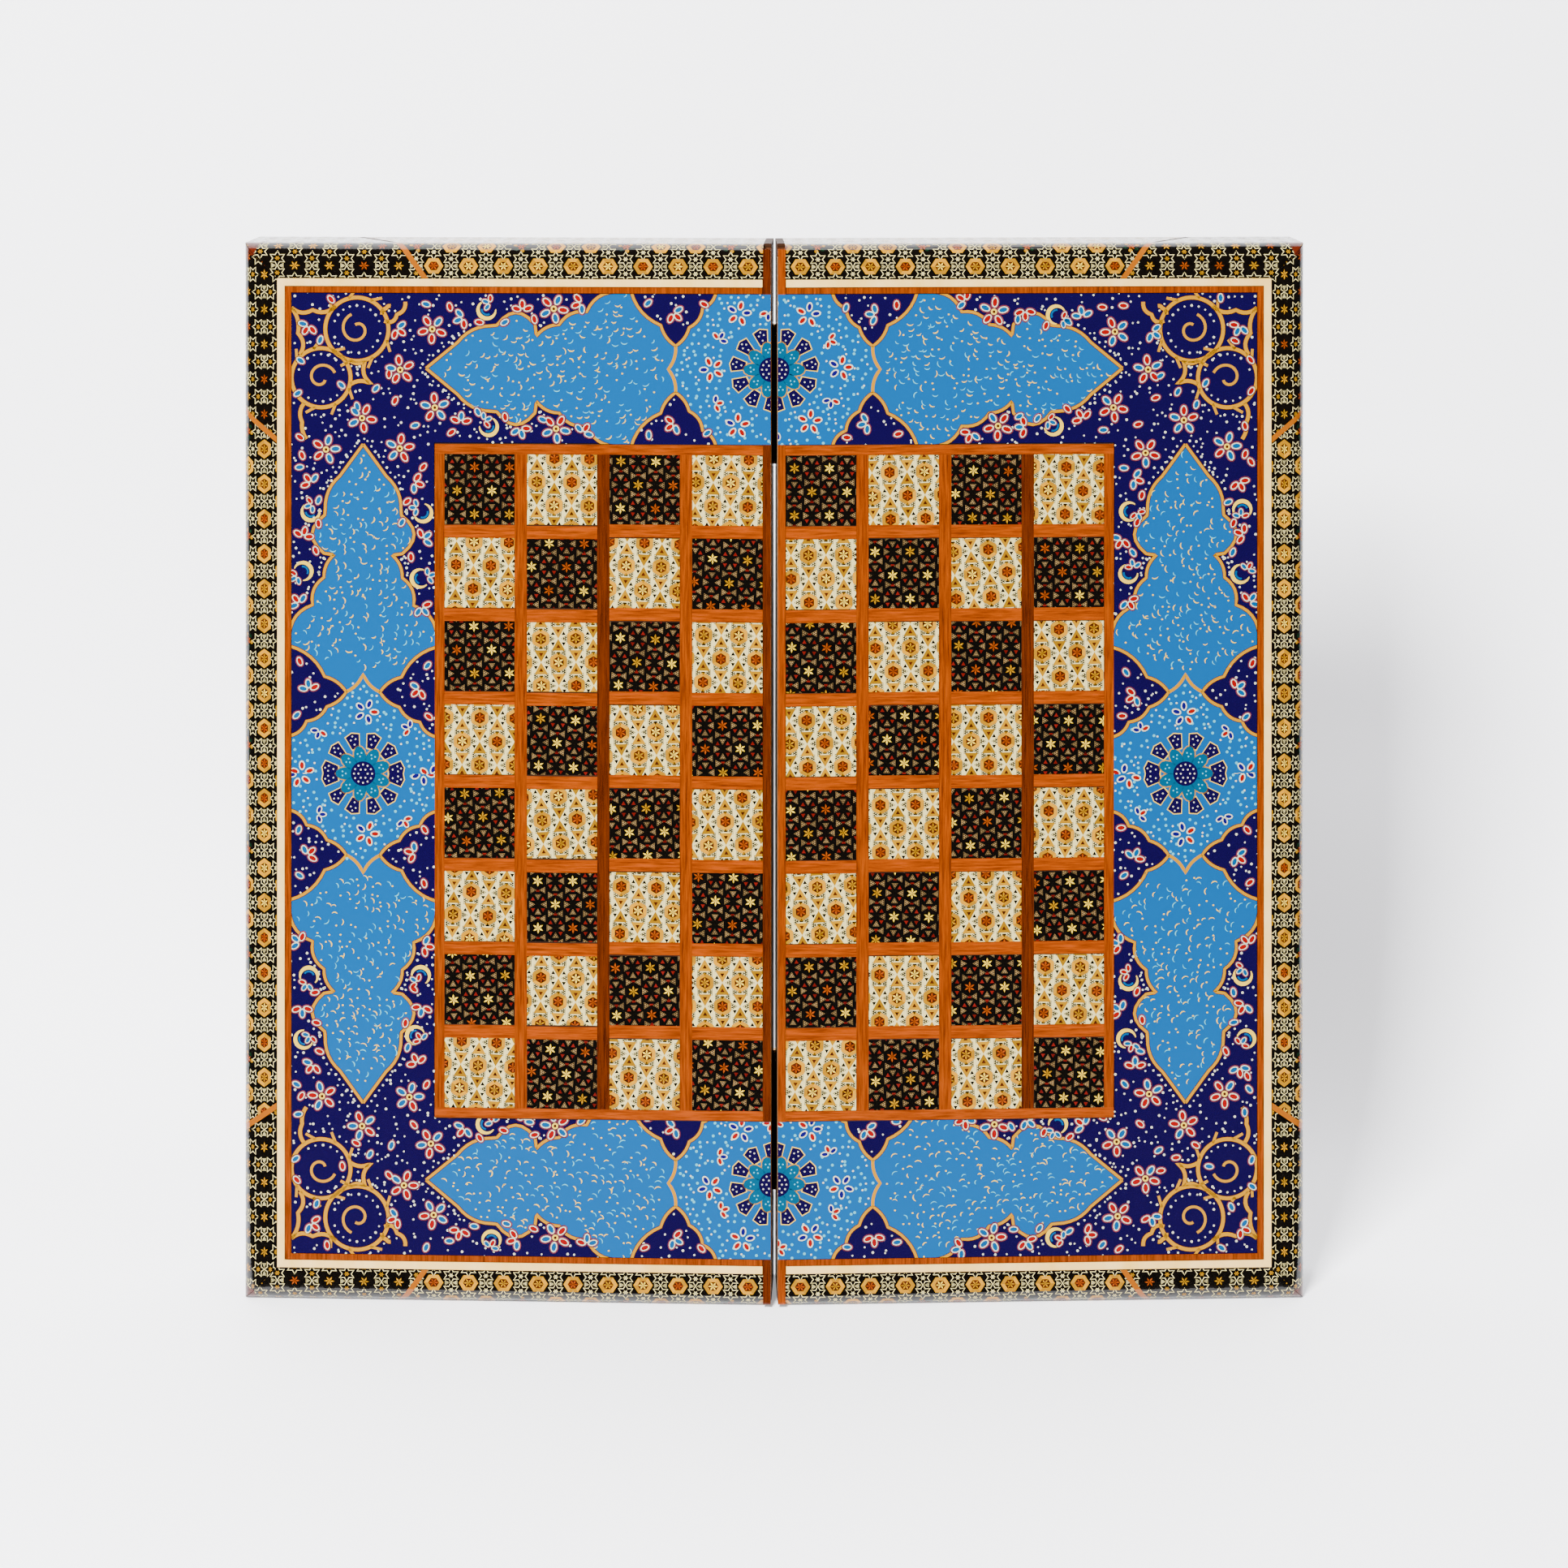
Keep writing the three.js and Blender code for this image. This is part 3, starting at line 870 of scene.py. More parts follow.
def arc(
    centre: tuple[float, float], start: float, end: float, first: float, last: float, points: int = 28
) -> np.ndarray:
    """Points on an arc whose radius changes evenly, so that it may be a spiral.

    Args:
        centre: Its centre.
        start: The radius at its start.
        end: The radius at its end.
        first: The first angle in degrees.
        last: The last angle in degrees.
        points: How many points.

    Returns:
        The points.
    """
    angle = np.radians(np.linspace(first, last, points))
    radius = np.linspace(start, end, points)
    return np.asarray(centre) + radius[:, None] * np.stack([np.cos(angle), np.sin(angle)], 1)


def scallop(corners: list[tuple[float, float, float]], points: int = 7) -> np.ndarray:
    """A line of bulging curves between corners.

    Each curve is a parabola whose middle stands off its chord by the bulge times the chord's length.

    Args:
        corners: Corners as two coordinates and the bulge of the curve that follows, positive to the left.
        points: Points for each curve.

    Returns:
        The line's points.
    """
    t = np.linspace(0, 1, points)[:-1, None]
    pieces = []
    for (x0, y0, bulge), (x1, y1, _) in zip(corners[:-1], corners[1:]):
        p, q = np.array([x0, y0]), np.array([x1, y1])
        off = bulge * np.array([p[1] - q[1], q[0] - p[0]])
        pieces.append(p + (q - p) * t + 4 * off * t * (1 - t))
    pieces.append(np.array([corners[-1][:2]]))
    return np.concatenate(pieces)


def filled(outline: np.ndarray) -> np.ndarray:
    """Triangles that fill any simple outline.

    Args:
        outline: Its points.

    Returns:
        The triangles.
    """
    faces = tessellate_polygon([[Vector((x, y, 0.0)) for x, y in outline]])
    return outline[np.asarray(faces)]


def inside(points: np.ndarray, outline: np.ndarray) -> np.ndarray:
    """Which points an outline encloses, by counting the sides to their right.

    Args:
        points: The points.
        outline: The outline's points.

    Returns:
        True for each enclosed point.
    """
    a, b = outline, np.roll(outline, -1, 0)
    x, y = points[:, :1], points[:, 1:]
    crosses = (a[:, 1] > y) != (b[:, 1] > y)
    rise = np.where(b[:, 1] == a[:, 1], 1e-9, b[:, 1] - a[:, 1])
    return (crosses & (x < a[:, 0] + (y - a[:, 1]) * (b[:, 0] - a[:, 0]) / rise)).sum(1) % 2 == 1


def clear(points: np.ndarray, marks: np.ndarray, gap: float) -> np.ndarray:
    """Which points keep their distance from all marks.

    Args:
        points: The points.
        marks: The marks.
        gap: The least distance.

    Returns:
        True for each point that is far enough.
    """
    if not len(marks):
        return np.ones(len(points), bool)
    return (np.linalg.norm(points[:, None] - marks[None], axis=2) > gap).all(1)


class Motif(Enum):
    """What the painter sets on the border: four motifs on the navy ground and two on the azure one."""

    BLOOM = 1
    SPRIG = 2
    CRESCENT = 3
    BUD = 4
    SKY_BLOOM = 5
    SKY_SPRIG = 6


@dataclass(frozen=True)
class Band:
    """One painted band: its medallion, and the azure ground that ends in a pointed cartouche.

    A place on the band is (a, b): a runs from the medallion's centre along the band, and b across it. The
    hollow in each side of the cartouche holds one motif of its own, and around is how many blooms ring the
    medallion.
    """

    centre: tuple[float, float]
    upright: bool
    half_width: float
    tip: float
    swell: float
    base: tuple[float, float]
    apex: tuple[float, float]
    waist: float
    hollow: Motif
    around: int

    def place(self, flat: np.ndarray) -> np.ndarray:
        """Takes places on the band to places on the tray.

        Args:
            flat: Points (a, b).

        Returns:
            Points (u, z).
        """
        a, b = flat[..., 0], flat[..., 1]
        u, z = self.centre
        return np.stack([u + b, z + a] if self.upright else [u + a, z + b], -1)

    def profile(self) -> np.ndarray:
        """One side of the cartouche, from its tip to the band's edge.

        Returns:
            Points (a, b).
        """
        k = self.swell
        corners = [
            (0.0, 0.0, 0.0), (15.0, 11.0 * k, 0.12), (31.0, 18.0 * k, 0.0), (33.5, 18.2 * k, 0.32),
            (51.6, 18.6 * k, 0.0), (52.3, 13.8 * k, 0.12), (63.0, 18.6 * k, 0.16), (76.0, 24.0 * k, 0.16),
            (90.0, self.half_width + 1.0, 0.0),
        ]
        line = scallop(corners)
        return np.stack([self.tip - line[:, 0], line[:, 1]], 1)

    def ground(self) -> np.ndarray:
        """The azure ground's outline.

        Returns:
            Points (u, z).
        """
        side = self.profile()
        end = np.array([[-2.0, self.half_width + 1.0]])
        half = np.concatenate([side, end])
        return self.place(np.concatenate([half, (half * [1, -1])[::-1]]))

    def spandrel(self, sign: int) -> np.ndarray:
        """A navy triangle with scalloped sides on one edge of the band.

        Args:
            sign: The edge, 1 or -1.

        Returns:
            Points (u, z) from one foot over the apex to the other.
        """
        (near, far), (a, b), edge = self.base, self.apex, self.half_width + 1.0
        low = [(near, edge, -0.14), ((near * 2 + a) / 3, edge - (edge - b) * 0.3, -0.14),
               ((near + 2 * a) / 3, edge - (edge - b) * 0.66, -0.1), (a, b, -0.1),
               ((far + 2 * a) / 3, edge - (edge - b) * 0.62, -0.12), (far, edge, 0.0)]
        line = scallop(low)
        return self.place(line * [1, sign])

    def chevron(self) -> np.ndarray:
        """The gold line from one spandrel's apex to the other's.

        Returns:
            Points (u, z).
        """
        a, b = self.apex
        return self.place(scallop([(a, b, -0.1), (self.waist, 0.0, -0.1), (a, -b, 0.0)]))


TOP_BAND = Band((0.0, 441.5), False, 35.4, 163.0, 1.12, (26.0, 66.0), (45.0, 11.0), 48.5, Motif.BLOOM, 6)
SIDE_BAND = Band((192.85, 250.0), True, 34.0, 155.5, 1.0, (17.5, 60.0), (38.5, 8.0), 47.0, Motif.CRESCENT, 4)
# Places beside a cartouche: how far back from its tip, and how far out from the band's middle line.
BESIDE_TIP = {
    Motif.BLOOM: ((3, 18),),
    Motif.SPRIG: ((18, 25), (45, 28), (75, 30)),
    Motif.CRESCENT: ((31, 27),),
    Motif.BUD: ((10, 30), (25, 21), (38, 22), (52, 23)),
}
# Places in from the painted field's outer corner: across, and down.
IN_CORNER = {
    Motif.SPRIG: ((8, 14), (50, 18)),
    Motif.BUD: (
        (17, 3), (64, 4), (3, 32), (3, 46), (12, 22), (24, 42), (30, 53), (38, 46), (45, 39), (48, 50),
        (57, 62), (4, 66), (5, 77),
    ),
}
# The tendrils of the scrolls, in from the corner as in the table above, with each curve's bulge.
TENDRILS = (
    ((0, 7, 0.18), (10, 8, 0.18), (21, 6, 0.0)),
    ((0, 7, -0.12), (3, 19, -0.2), (4, 29, 0.0)),
    ((43, 10, -0.2), (45, 7, -0.2), (47, 6, 0.0)),
    ((44, 13, 0.3), (50, 10, 0.2), (54, 4, 0.0)),
    ((28, 32, 0.16), (35, 32, 0.2), (38, 43, 0.16), (28, 43, 0.0)),
    ((6, 52, 0.16), (5, 61, 0.1), (7, 69, 0.0)),
)


@dataclass
class Painting:
    """Painted border: navy ground with gold scrolls and flowers, azure cartouches and medallions.

    The design is the same in the four quarters of the board, and each flower has its own small shift and
    turn. Places are (u, z) in the upper quarter of a tray. A room is how far the scattered dots keep away.
    """

    inset: float = 23.2
    board_u: float = 158.9
    board_z: tuple[float, float] = (87.8, 406.2)
    lift: float = 0.06
    stroke_pitch: float = 3.5
    dot_pitch: float = 3.0
    hollow_place: tuple[float, float] = (61.0, 27.0)
    beyond_tip: float = 11.0
    wedge_middle: float = 25.0
    wedge_feet: tuple[float, float] = (12.0, 30.0)
    flower_ring: float = 29.0
    scroll_places: tuple = ((31.0, 17.0), (14.0, 40.0))
    scroll_radii: tuple = (15.0, 14.0)
    outline_widths: tuple[float, float] = (1.9, 1.35)
    chevron_width: float = 1.5
    scroll_widths: tuple[float, float] = (2.3, 1.8)
    curl_width: float = 1.3
    string_gap: float = 2.6
    scroll_rings: tuple[float, float] = (11.2, 17.6)
    crescent: float = 4.2
    shift: float = 1.1
    bloom_room: float = 7.2
    sprig_room: float = 5.0
    bud_room: float = 2.9
    thorn: float = 4.0
    thorn_ways: tuple = (35, 75, 115, 200, 240, 280)

    @property
    def corner(self) -> np.ndarray:
        """The painted field's outer corner (u, z)."""
        return np.array([HALF_WIDTH - self.inset, HEIGHT - self.inset])

    @property
    def scroll_centres(self) -> np.ndarray:
        """The middles of the two scrolls in the corner."""
        return self.corner - np.array(self.scroll_places)

    def places(self, motif: Motif) -> np.ndarray:
        """Where one motif stands in the upper quarter.

        On the navy ground it stands at the same distances back from the tip of each cartouche and out from
        the band's middle line, on both sides, and in from the corner. In each cartouche's side lies one
        hollow, with the band's own motif. On the azure ground the motifs stand evenly round the medallion.

        Args:
            motif: The motif.

        Returns:
            Points (u, z).
        """
        spots = [np.empty((0, 2))]
        for band in (TOP_BAND, SIDE_BAND):
            if motif in (Motif.SKY_BLOOM, Motif.SKY_SPRIG):
                phase = band.upright * math.pi / 2 + (motif is Motif.SKY_SPRIG) * math.pi / band.around
                spots.append(band.centre + ring(band.around, self.flower_ring, phase))
                continue
            back = [(band.tip - along, across) for along, across in BESIDE_TIP[motif]]
            if motif is band.hollow:
                back.append((band.tip - self.hollow_place[0], self.hollow_place[1]))
            if motif is Motif.SPRIG:
                back.append((band.apex[0], self.wedge_middle))
            if motif is Motif.BUD:
                step, across = self.wedge_feet
                back += [(band.apex[0] - step, across), (band.apex[0] + step, across)]
            spots += [band.place(np.array(back) * [1, sign]) for sign in (1, -1)]
            if motif is Motif.BLOOM:
                spots.append(band.place(np.array([[band.tip + self.beyond_tip, 0.0]])))
        if motif in IN_CORNER:
            spots.append(self.corner - np.array(IN_CORNER[motif]))
        return np.concatenate(spots)

    def build(self, tray: Tray) -> None:
        """Paints one tray.

        Args:
            tray: The tray.
        """
        layers: dict[str, list[Shards]] = {}
        for upper in (True, False):
            rng = np.random.default_rng(500 + 10 * tray.side.value + upper)
            for name, shards in self.quarter(rng).items():
                shards = shards.clip((0, -1), -HEIGHT / 2)
                layers.setdefault(name, []).append(shards if upper else shards.mirrored(1, HEIGHT / 2))
        for name, halves in layers.items():
            tray.inlay(f"painted_{name}", self.framed(Shards.join(halves)), self.lift, "painted_panel", PAINT)

    def framed(self, shards: Shards) -> Shards:
        """Cuts the paint to the border round the chess board.

        Args:
            shards: The shards in (u, z).

        Returns:
            The cut shards.
        """
        far = HALF_WIDTH - self.inset
        low, high = self.board_z
        return Shards.join([
            shards.within(SEAM, far, high, HEIGHT - self.inset),
            shards.within(SEAM, far, self.inset, low),
            shards.within(self.board_u, far, low, high),
        ])

    def quarter(self, rng: np.random.Generator) -> dict[str, Shards]:
        """Paints the upper quarter.

        Args:
            rng: The source of the shifts.

        Returns:
            The shards of each layer.
        """
        bands = (TOP_BAND, SIDE_BAND)
        ground = [Shards.of(filled(band.ground()), Tone.AZURE) for band in bands]
        outline, taken = [], []
        for band in bands:
            side = band.profile()
            for sign in (-1, 1):
                line = band.place(side * [1, sign])
                spandrel = band.spandrel(sign)
                ground.append(Shards.of(filled(spandrel), Tone.NAVY, None, 1))
                for path in (line, spandrel):
                    outline.append(Shards.of(ribbon(path, self.outline_widths[0]), Tone.BROWN, None, 2))
                    outline.append(Shards.of(ribbon(path, self.outline_widths[1]), Tone.LEAF_GOLD, None, 3))
                    taken.append(path)
            outline.append(Shards.of(ribbon(band.chevron(), self.chevron_width), Tone.LEAF_GOLD, None, 3))
            taken.append(band.chevron())
        scrolls, scroll_lines = self.scrolls()
        flowers = self.flowers(rng)
        lines = np.concatenate(taken + scroll_lines)
        return {
            "ground": Shards.join(ground),
            "outlines": Shards.join(outline),
            "scrolls": scrolls,
            "flowers": flowers,
            "dots": self.dots(rng, lines),
            "strokes": self.strokes(rng, lines),
            "medallions": Shards.join([self.medallion(band, rng) for band in bands]),
        }

    def petals(
        self, at: np.ndarray, angle: np.ndarray, size: float, rng: np.random.Generator, gilt: bool = True
    ) -> Shards:
        """White petals with a red or blue core, with a dull pink outline on the navy ground.

        Args:
            at: Their middles.
            angle: The directions of their lengths.
            size: Their length over the usual one.
            rng: The source of the cores' tones.
            gilt: True for the gold outline.

        Returns:
            The shards.
        """
        parts = []
        if gilt:
            parts.append(Shards.of(blobs(at, 3.2 * size, 2.25 * size, angle), Tone.BLUSH, rng, 4))
        white = (2.55, 1.6) if gilt else (2.8, 1.8)
        parts.append(Shards.of(blobs(at, white[0] * size, white[1] * size, angle, 10), Tone.PETAL, None, 6))
        tone = (Tone.CRIMSON, Tone.SKY) if gilt else (Tone.CRIMSON, Tone.DEEP)
        pick = rng.random(len(at)) < 0.5
        for chosen, core in ((pick, tone[0]), (~pick, tone[1])):
            if chosen.any():
                spots = blobs(at[chosen], 2.0 * size, 1.12 * size, angle[chosen], 8)
                parts.append(Shards.of(spots, core, None, 7))
        return Shards.join(parts)

    def bloom(
        self, at: tuple[float, float], size: float, rng: np.random.Generator, gilt: bool = True
    ) -> Shards:
        """A flower of five petals round a gold eye.

        Args:
            at: Its middle.
            size: Its width over the usual one.
            rng: The source of its turn.
            gilt: True for gold outlines.

        Returns:
            The shards.
        """
        turned = rng.uniform(0, FULL_TURN) + FULL_TURN * np.arange(5) / 5
        spots = np.asarray(at) + 4.5 * size * np.stack([np.cos(turned), np.sin(turned)], 1)
        parts = [self.petals(spots, turned, size, rng, gilt)]
        if gilt:
            parts.append(Shards.of(blobs([at], 1.5 * size, 1.5 * size), Tone.CREAM, None, 8))
            parts.append(Shards.of(blobs([at], 0.7 * size, 0.7 * size, points=8), Tone.BROWN, None, 9))
        return Shards.join(parts)

    def sprig(
        self, at: tuple[float, float], size: float, rng: np.random.Generator, gilt: bool = True
    ) -> Shards:
        """Three petals that spread from one point.

        Args:
            at: Its middle.
            size: Its width over the usual one.
            rng: The source of its turn.
            gilt: True for gold outlines.

        Returns:
            The shards.
        """
        turned = rng.uniform(0, FULL_TURN) + np.array([-1.25, 0.0, 1.25])
        spots = np.asarray(at) + 2.9 * size * np.stack([np.cos(turned), np.sin(turned)], 1)
        return self.petals(spots, turned, 0.92 * size, rng, gilt)

    def flowers(self, rng: np.random.Generator) -> Shards:
        """All flowers, sprigs, crescents and buds.

        Args:
            rng: The source of their shifts.

        Returns:
            The shards.
        """
        placed = {motif: self.places(motif) for motif in Motif}
        placed = {motif: spots + rng.normal(0, self.shift, spots.shape) for motif, spots in placed.items()}
        parts = [self.bloom(at, 1.0, rng) for at in placed[Motif.BLOOM]]
        parts += [self.sprig(at, 1.0, rng) for at in placed[Motif.SPRIG]]
        for at in placed[Motif.CRESCENT]:
            first = rng.uniform(0, 360)
            line = arc(at, self.crescent, self.crescent, first, first + 250)
            taper = 1.9 * np.sin(np.linspace(0.25, math.pi - 0.25, len(line)))
            parts.append(Shards.of(ribbon(line, taper), Tone.CREAM, None, 4))
            inner = arc(at, 2.4, 2.4, first + 60, first + 190, 12)
            parts.append(Shards.of(ribbon(inner, 0.9), Tone.SKY, None, 4))
            way = np.radians(first + 300)
            parts.append(self.sprig((at[0] + 3.4 * math.cos(way), at[1] + 3.4 * math.sin(way)), 0.8, rng))
        spots = placed[Motif.BUD]
        parts.append(self.petals(spots, rng.uniform(0, FULL_TURN, len(spots)), 0.9, rng))
        parts += [self.bloom(at, 0.84, rng, False) for at in placed[Motif.SKY_BLOOM]]
        parts += [self.sprig(at, 0.8, rng, False) for at in placed[Motif.SKY_SPRIG]]
        return Shards.join(parts)

    def scrolls(self) -> tuple[Shards, list[np.ndarray]]:
        """The gold scrolls in the corner.

        Returns:
            The shards, and the lines they follow.
        """
        far, top = self.corner
        thick = [scallop([(far - x, top - z, bend) for x, z, bend in line]) for line in TENDRILS]
        thin = []
        for k, (centre, radius) in enumerate(zip(self.scroll_centres, self.scroll_radii)):
            thick.append(arc(centre, radius, radius, 0, 360, 48))
            thin.append(arc(centre, 2.2, radius / 2, 70 + 140 * k, 430 + 90 * k))
            for way in self.thorn_ways:
                root = arc(centre, radius, radius, way, way, 2)[0]
                end = arc(centre, radius + self.thorn, radius + self.thorn, way + 14, way + 14, 2)[0]
                thin.append(np.array([root, end]))
        shadow, gold = self.scroll_widths
        parts = [Shards.of(ribbon(line, shadow), Tone.BROWN, None, 3) for line in thick]
        parts += [Shards.of(ribbon(line, gold), Tone.LEAF_GOLD, None, 4) for line in thick]
        parts += [Shards.of(ribbon(line, self.curl_width), Tone.LEAF_GOLD, None, 4) for line in thin]
        return Shards.join(parts), thick + thin

    def strings(self) -> np.ndarray:
        """Rows of white dots along the gold lines on the navy ground.

        Returns:
            Their places.
        """
        rows = []
        for band in (TOP_BAND, SIDE_BAND):
            side = band.profile()
            for sign in (-1, 1):
                line = band.place(side * [1, sign])
                run = np.gradient(line, axis=0)
                run /= np.maximum(np.linalg.norm(run, axis=1, keepdims=True), 1e-9)
                turned = np.stack([-run[:, 1], run[:, 0]], 1)
                flip = 1 if (sign > 0) == band.upright else -1
                rows.append(line + turned * self.string_gap * flip)
        within, beyond = self.scroll_rings
        for centre in self.scroll_centres:
            rows.append(arc(centre, within, within, 20, 160, 9))
            rows.append(arc(centre, within, within, 190, 340, 9))
            rows.append(arc(centre, beyond, beyond, 60, 330, 22))
        return np.concatenate(rows)

    def dots(self, rng: np.random.Generator, lines: np.ndarray) -> Shards:
        """White dots in strings and scattered over the navy ground, and cyan ones round the medallions.

        Args:
            rng: The source of their places and sizes.
            lines: Points of the gold lines.

        Returns:
            The shards.
        """
        blooms, buds = self.places(Motif.BLOOM), self.places(Motif.BUD)
        sprays = np.concatenate([self.places(Motif.SPRIG), self.places(Motif.CRESCENT)])
        strings = self.strings()
        p = self.dot_pitch
        u, z = np.meshgrid(np.arange(0, HALF_WIDTH, p), np.arange(HEIGHT / 2, HEIGHT, p))
        grid = np.stack([u.ravel(), z.ravel()], 1) + rng.uniform(-0.42 * p, 0.42 * p, (u.size, 2))
        sky = np.zeros(len(grid), bool)
        for band in (TOP_BAND, SIDE_BAND):
            sky |= inside(grid, band.ground())
            for sign in (-1, 1):
                sky &= ~inside(grid, band.spandrel(sign))
        navy = grid[~sky & (rng.random(len(grid)) < 0.4)]
        navy = navy[clear(navy, self.scroll_centres, 16.5)]
        white = np.concatenate([strings, navy])
        white = white[clear(white, lines, 1.5) & clear(white, blooms, self.bloom_room)]
        white = white[clear(white, sprays, self.sprig_room) & clear(white, buds, self.bud_room)]
        parts = [Shards.of(blobs(white[k::3], r, r, points=8), Tone.PETAL, None, 3)
                 for k, r in enumerate((0.52, 0.64, 0.44))]
        round_ = np.zeros(len(grid), bool)
        for band in (TOP_BAND, SIDE_BAND):
            off = np.abs(grid - np.asarray(band.centre))
            along = off[:, 1] if band.upright else off[:, 0]
            across = off[:, 0] if band.upright else off[:, 1]
            reach = band.waist + (band.base[0] - band.waist) * across / band.half_width
            round_ |= (along < reach) & (across < band.half_width) & (np.linalg.norm(off, axis=1) > 21.5)
        pale = grid[sky & round_]
        pale = pale[clear(pale, lines, 1.6) & clear(pale, self.places(Motif.SKY_BLOOM), 5.6)]
        pale = pale[clear(pale, self.places(Motif.SKY_SPRIG), 4.2)]
        parts.append(Shards.of(blobs(pale[::2], 0.72, 0.72, points=8), Tone.CYAN, None, 3))
        parts.append(Shards.of(blobs(pale[1::4], 0.5, 0.5, points=8), Tone.PETAL, None, 3))
        return Shards.join(parts)

    def strokes(self, rng: np.random.Generator, lines: np.ndarray) -> Shards:
        """Short curved strokes in cream and cyan, and cream dots, over the azure cartouches.

        Args:
            rng: The source of their places and turns.
            lines: Points of the gold lines.

        Returns:
            The shards.
        """
        p = self.stroke_pitch
        u, z = np.meshgrid(np.arange(0, HALF_WIDTH, p), np.arange(HEIGHT / 2, HEIGHT, p * 0.9))
        grid = np.stack([u.ravel(), z.ravel()], 1) + rng.uniform(-0.32 * p, 0.32 * p, (u.size, 2))
        parts = []
        for band in (TOP_BAND, SIDE_BAND):
            spots = grid[inside(grid, band.ground())]
            for sign in (-1, 1):
                spots = spots[~inside(spots, band.spandrel(sign))]
            off = np.abs(spots - np.asarray(band.centre))
            along = off[:, 1] if band.upright else off[:, 0]
            across = off[:, 0] if band.upright else off[:, 1]
            share = np.minimum(across / band.half_width, 0.4)
            spots = spots[along > band.waist - (band.waist - band.base[1]) * share]
            spots = spots[clear(spots, lines, 2.1)]
            kind = rng.random(len(spots))
            for spot in spots[kind < 0.42]:
                way = rng.normal(200 if band.upright else 250, 40)
                size = rng.uniform(1.2, 2.0)
                line = arc(spot, size, size, way - 55, way + 55, 6)
                taper = rng.uniform(0.4, 0.62) * np.sin(np.linspace(0.35, math.pi - 0.2, 6))
                tone = Tone.CYAN if rng.random() < 0.4 else Tone.CREAM
                parts.append(Shards.of(ribbon(line, taper), tone, None, 3))
            parts.append(Shards.of(blobs(spots[kind > 0.78], 0.48, 0.42, points=8), Tone.CREAM, None, 3))
        return Shards.join(parts)

    def medallion(self, band: Band, rng: np.random.Generator) -> Shards:
        """The rosette at a band's centre: a dotted navy disc, turquoise petals and navy ones.

        Args:
            band: The band.
            rng: Not used.

        Returns:
            The shards.
        """
        at = np.asarray(band.centre)
        parts = [Shards.of(blobs([at], 5.8, 5.8, points=24), Tone.NAVY, None, 7)]
        for radius, count in ((2.2, 6), (4.3, 12)):
            discs = blobs(at + ring(count, radius), 0.45, 0.45, points=6)
            parts.append(Shards.of(discs, Tone.PETAL, None, 8))
        inner = FULL_TURN * np.arange(9) / 9
        way = np.stack([np.cos(inner), np.sin(inner)], 1)
        parts.append(Shards.of(blobs(at + 8.6 * way, 5.0, 3.4, inner), Tone.LEAF_GOLD, None, 4))
        parts.append(Shards.of(blobs(at + 8.5 * way, 4.6, 2.95, inner), Tone.TEAL, None, 5))
        for radius, angle in ((8.2, 0.0), (9.8, 0.1), (9.6, -0.1)):
            off = np.stack([np.cos(inner + angle), np.sin(inner + angle)], 1)
            parts.append(Shards.of(blobs(at + radius * off, 0.42, 0.42, points=6), Tone.CYAN, None, 6))
        outer = FULL_TURN * (np.arange(11) + 0.25) / 11
        shape = np.array([(12.2, -1.7), (12.2, 1.7), (18.4, 3.3), (19.6, 0.0), (18.4, -3.3)])
        leaf = turn(np.broadcast_to(shape, (11, 5, 2)), outer[:, None])
        middle = leaf.mean(1, keepdims=True)
        parts.append(Shards.of(fan(at + middle + (leaf - middle) * 1.14), Tone.CREAM, None, 3))
        parts.append(Shards.of(fan(at + leaf), Tone.NAVY, None, 4))
        for x, y in ((14.2, 0.0), (16.6, 1.2), (16.6, -1.2), (18.2, 0.0)):
            spot = turn(np.broadcast_to([x, y], (11, 2)), outer)
            parts.append(Shards.of(blobs(at + spot, 0.42, 0.42, points=6), Tone.PETAL, None, 5))
        return Shards.join(parts)


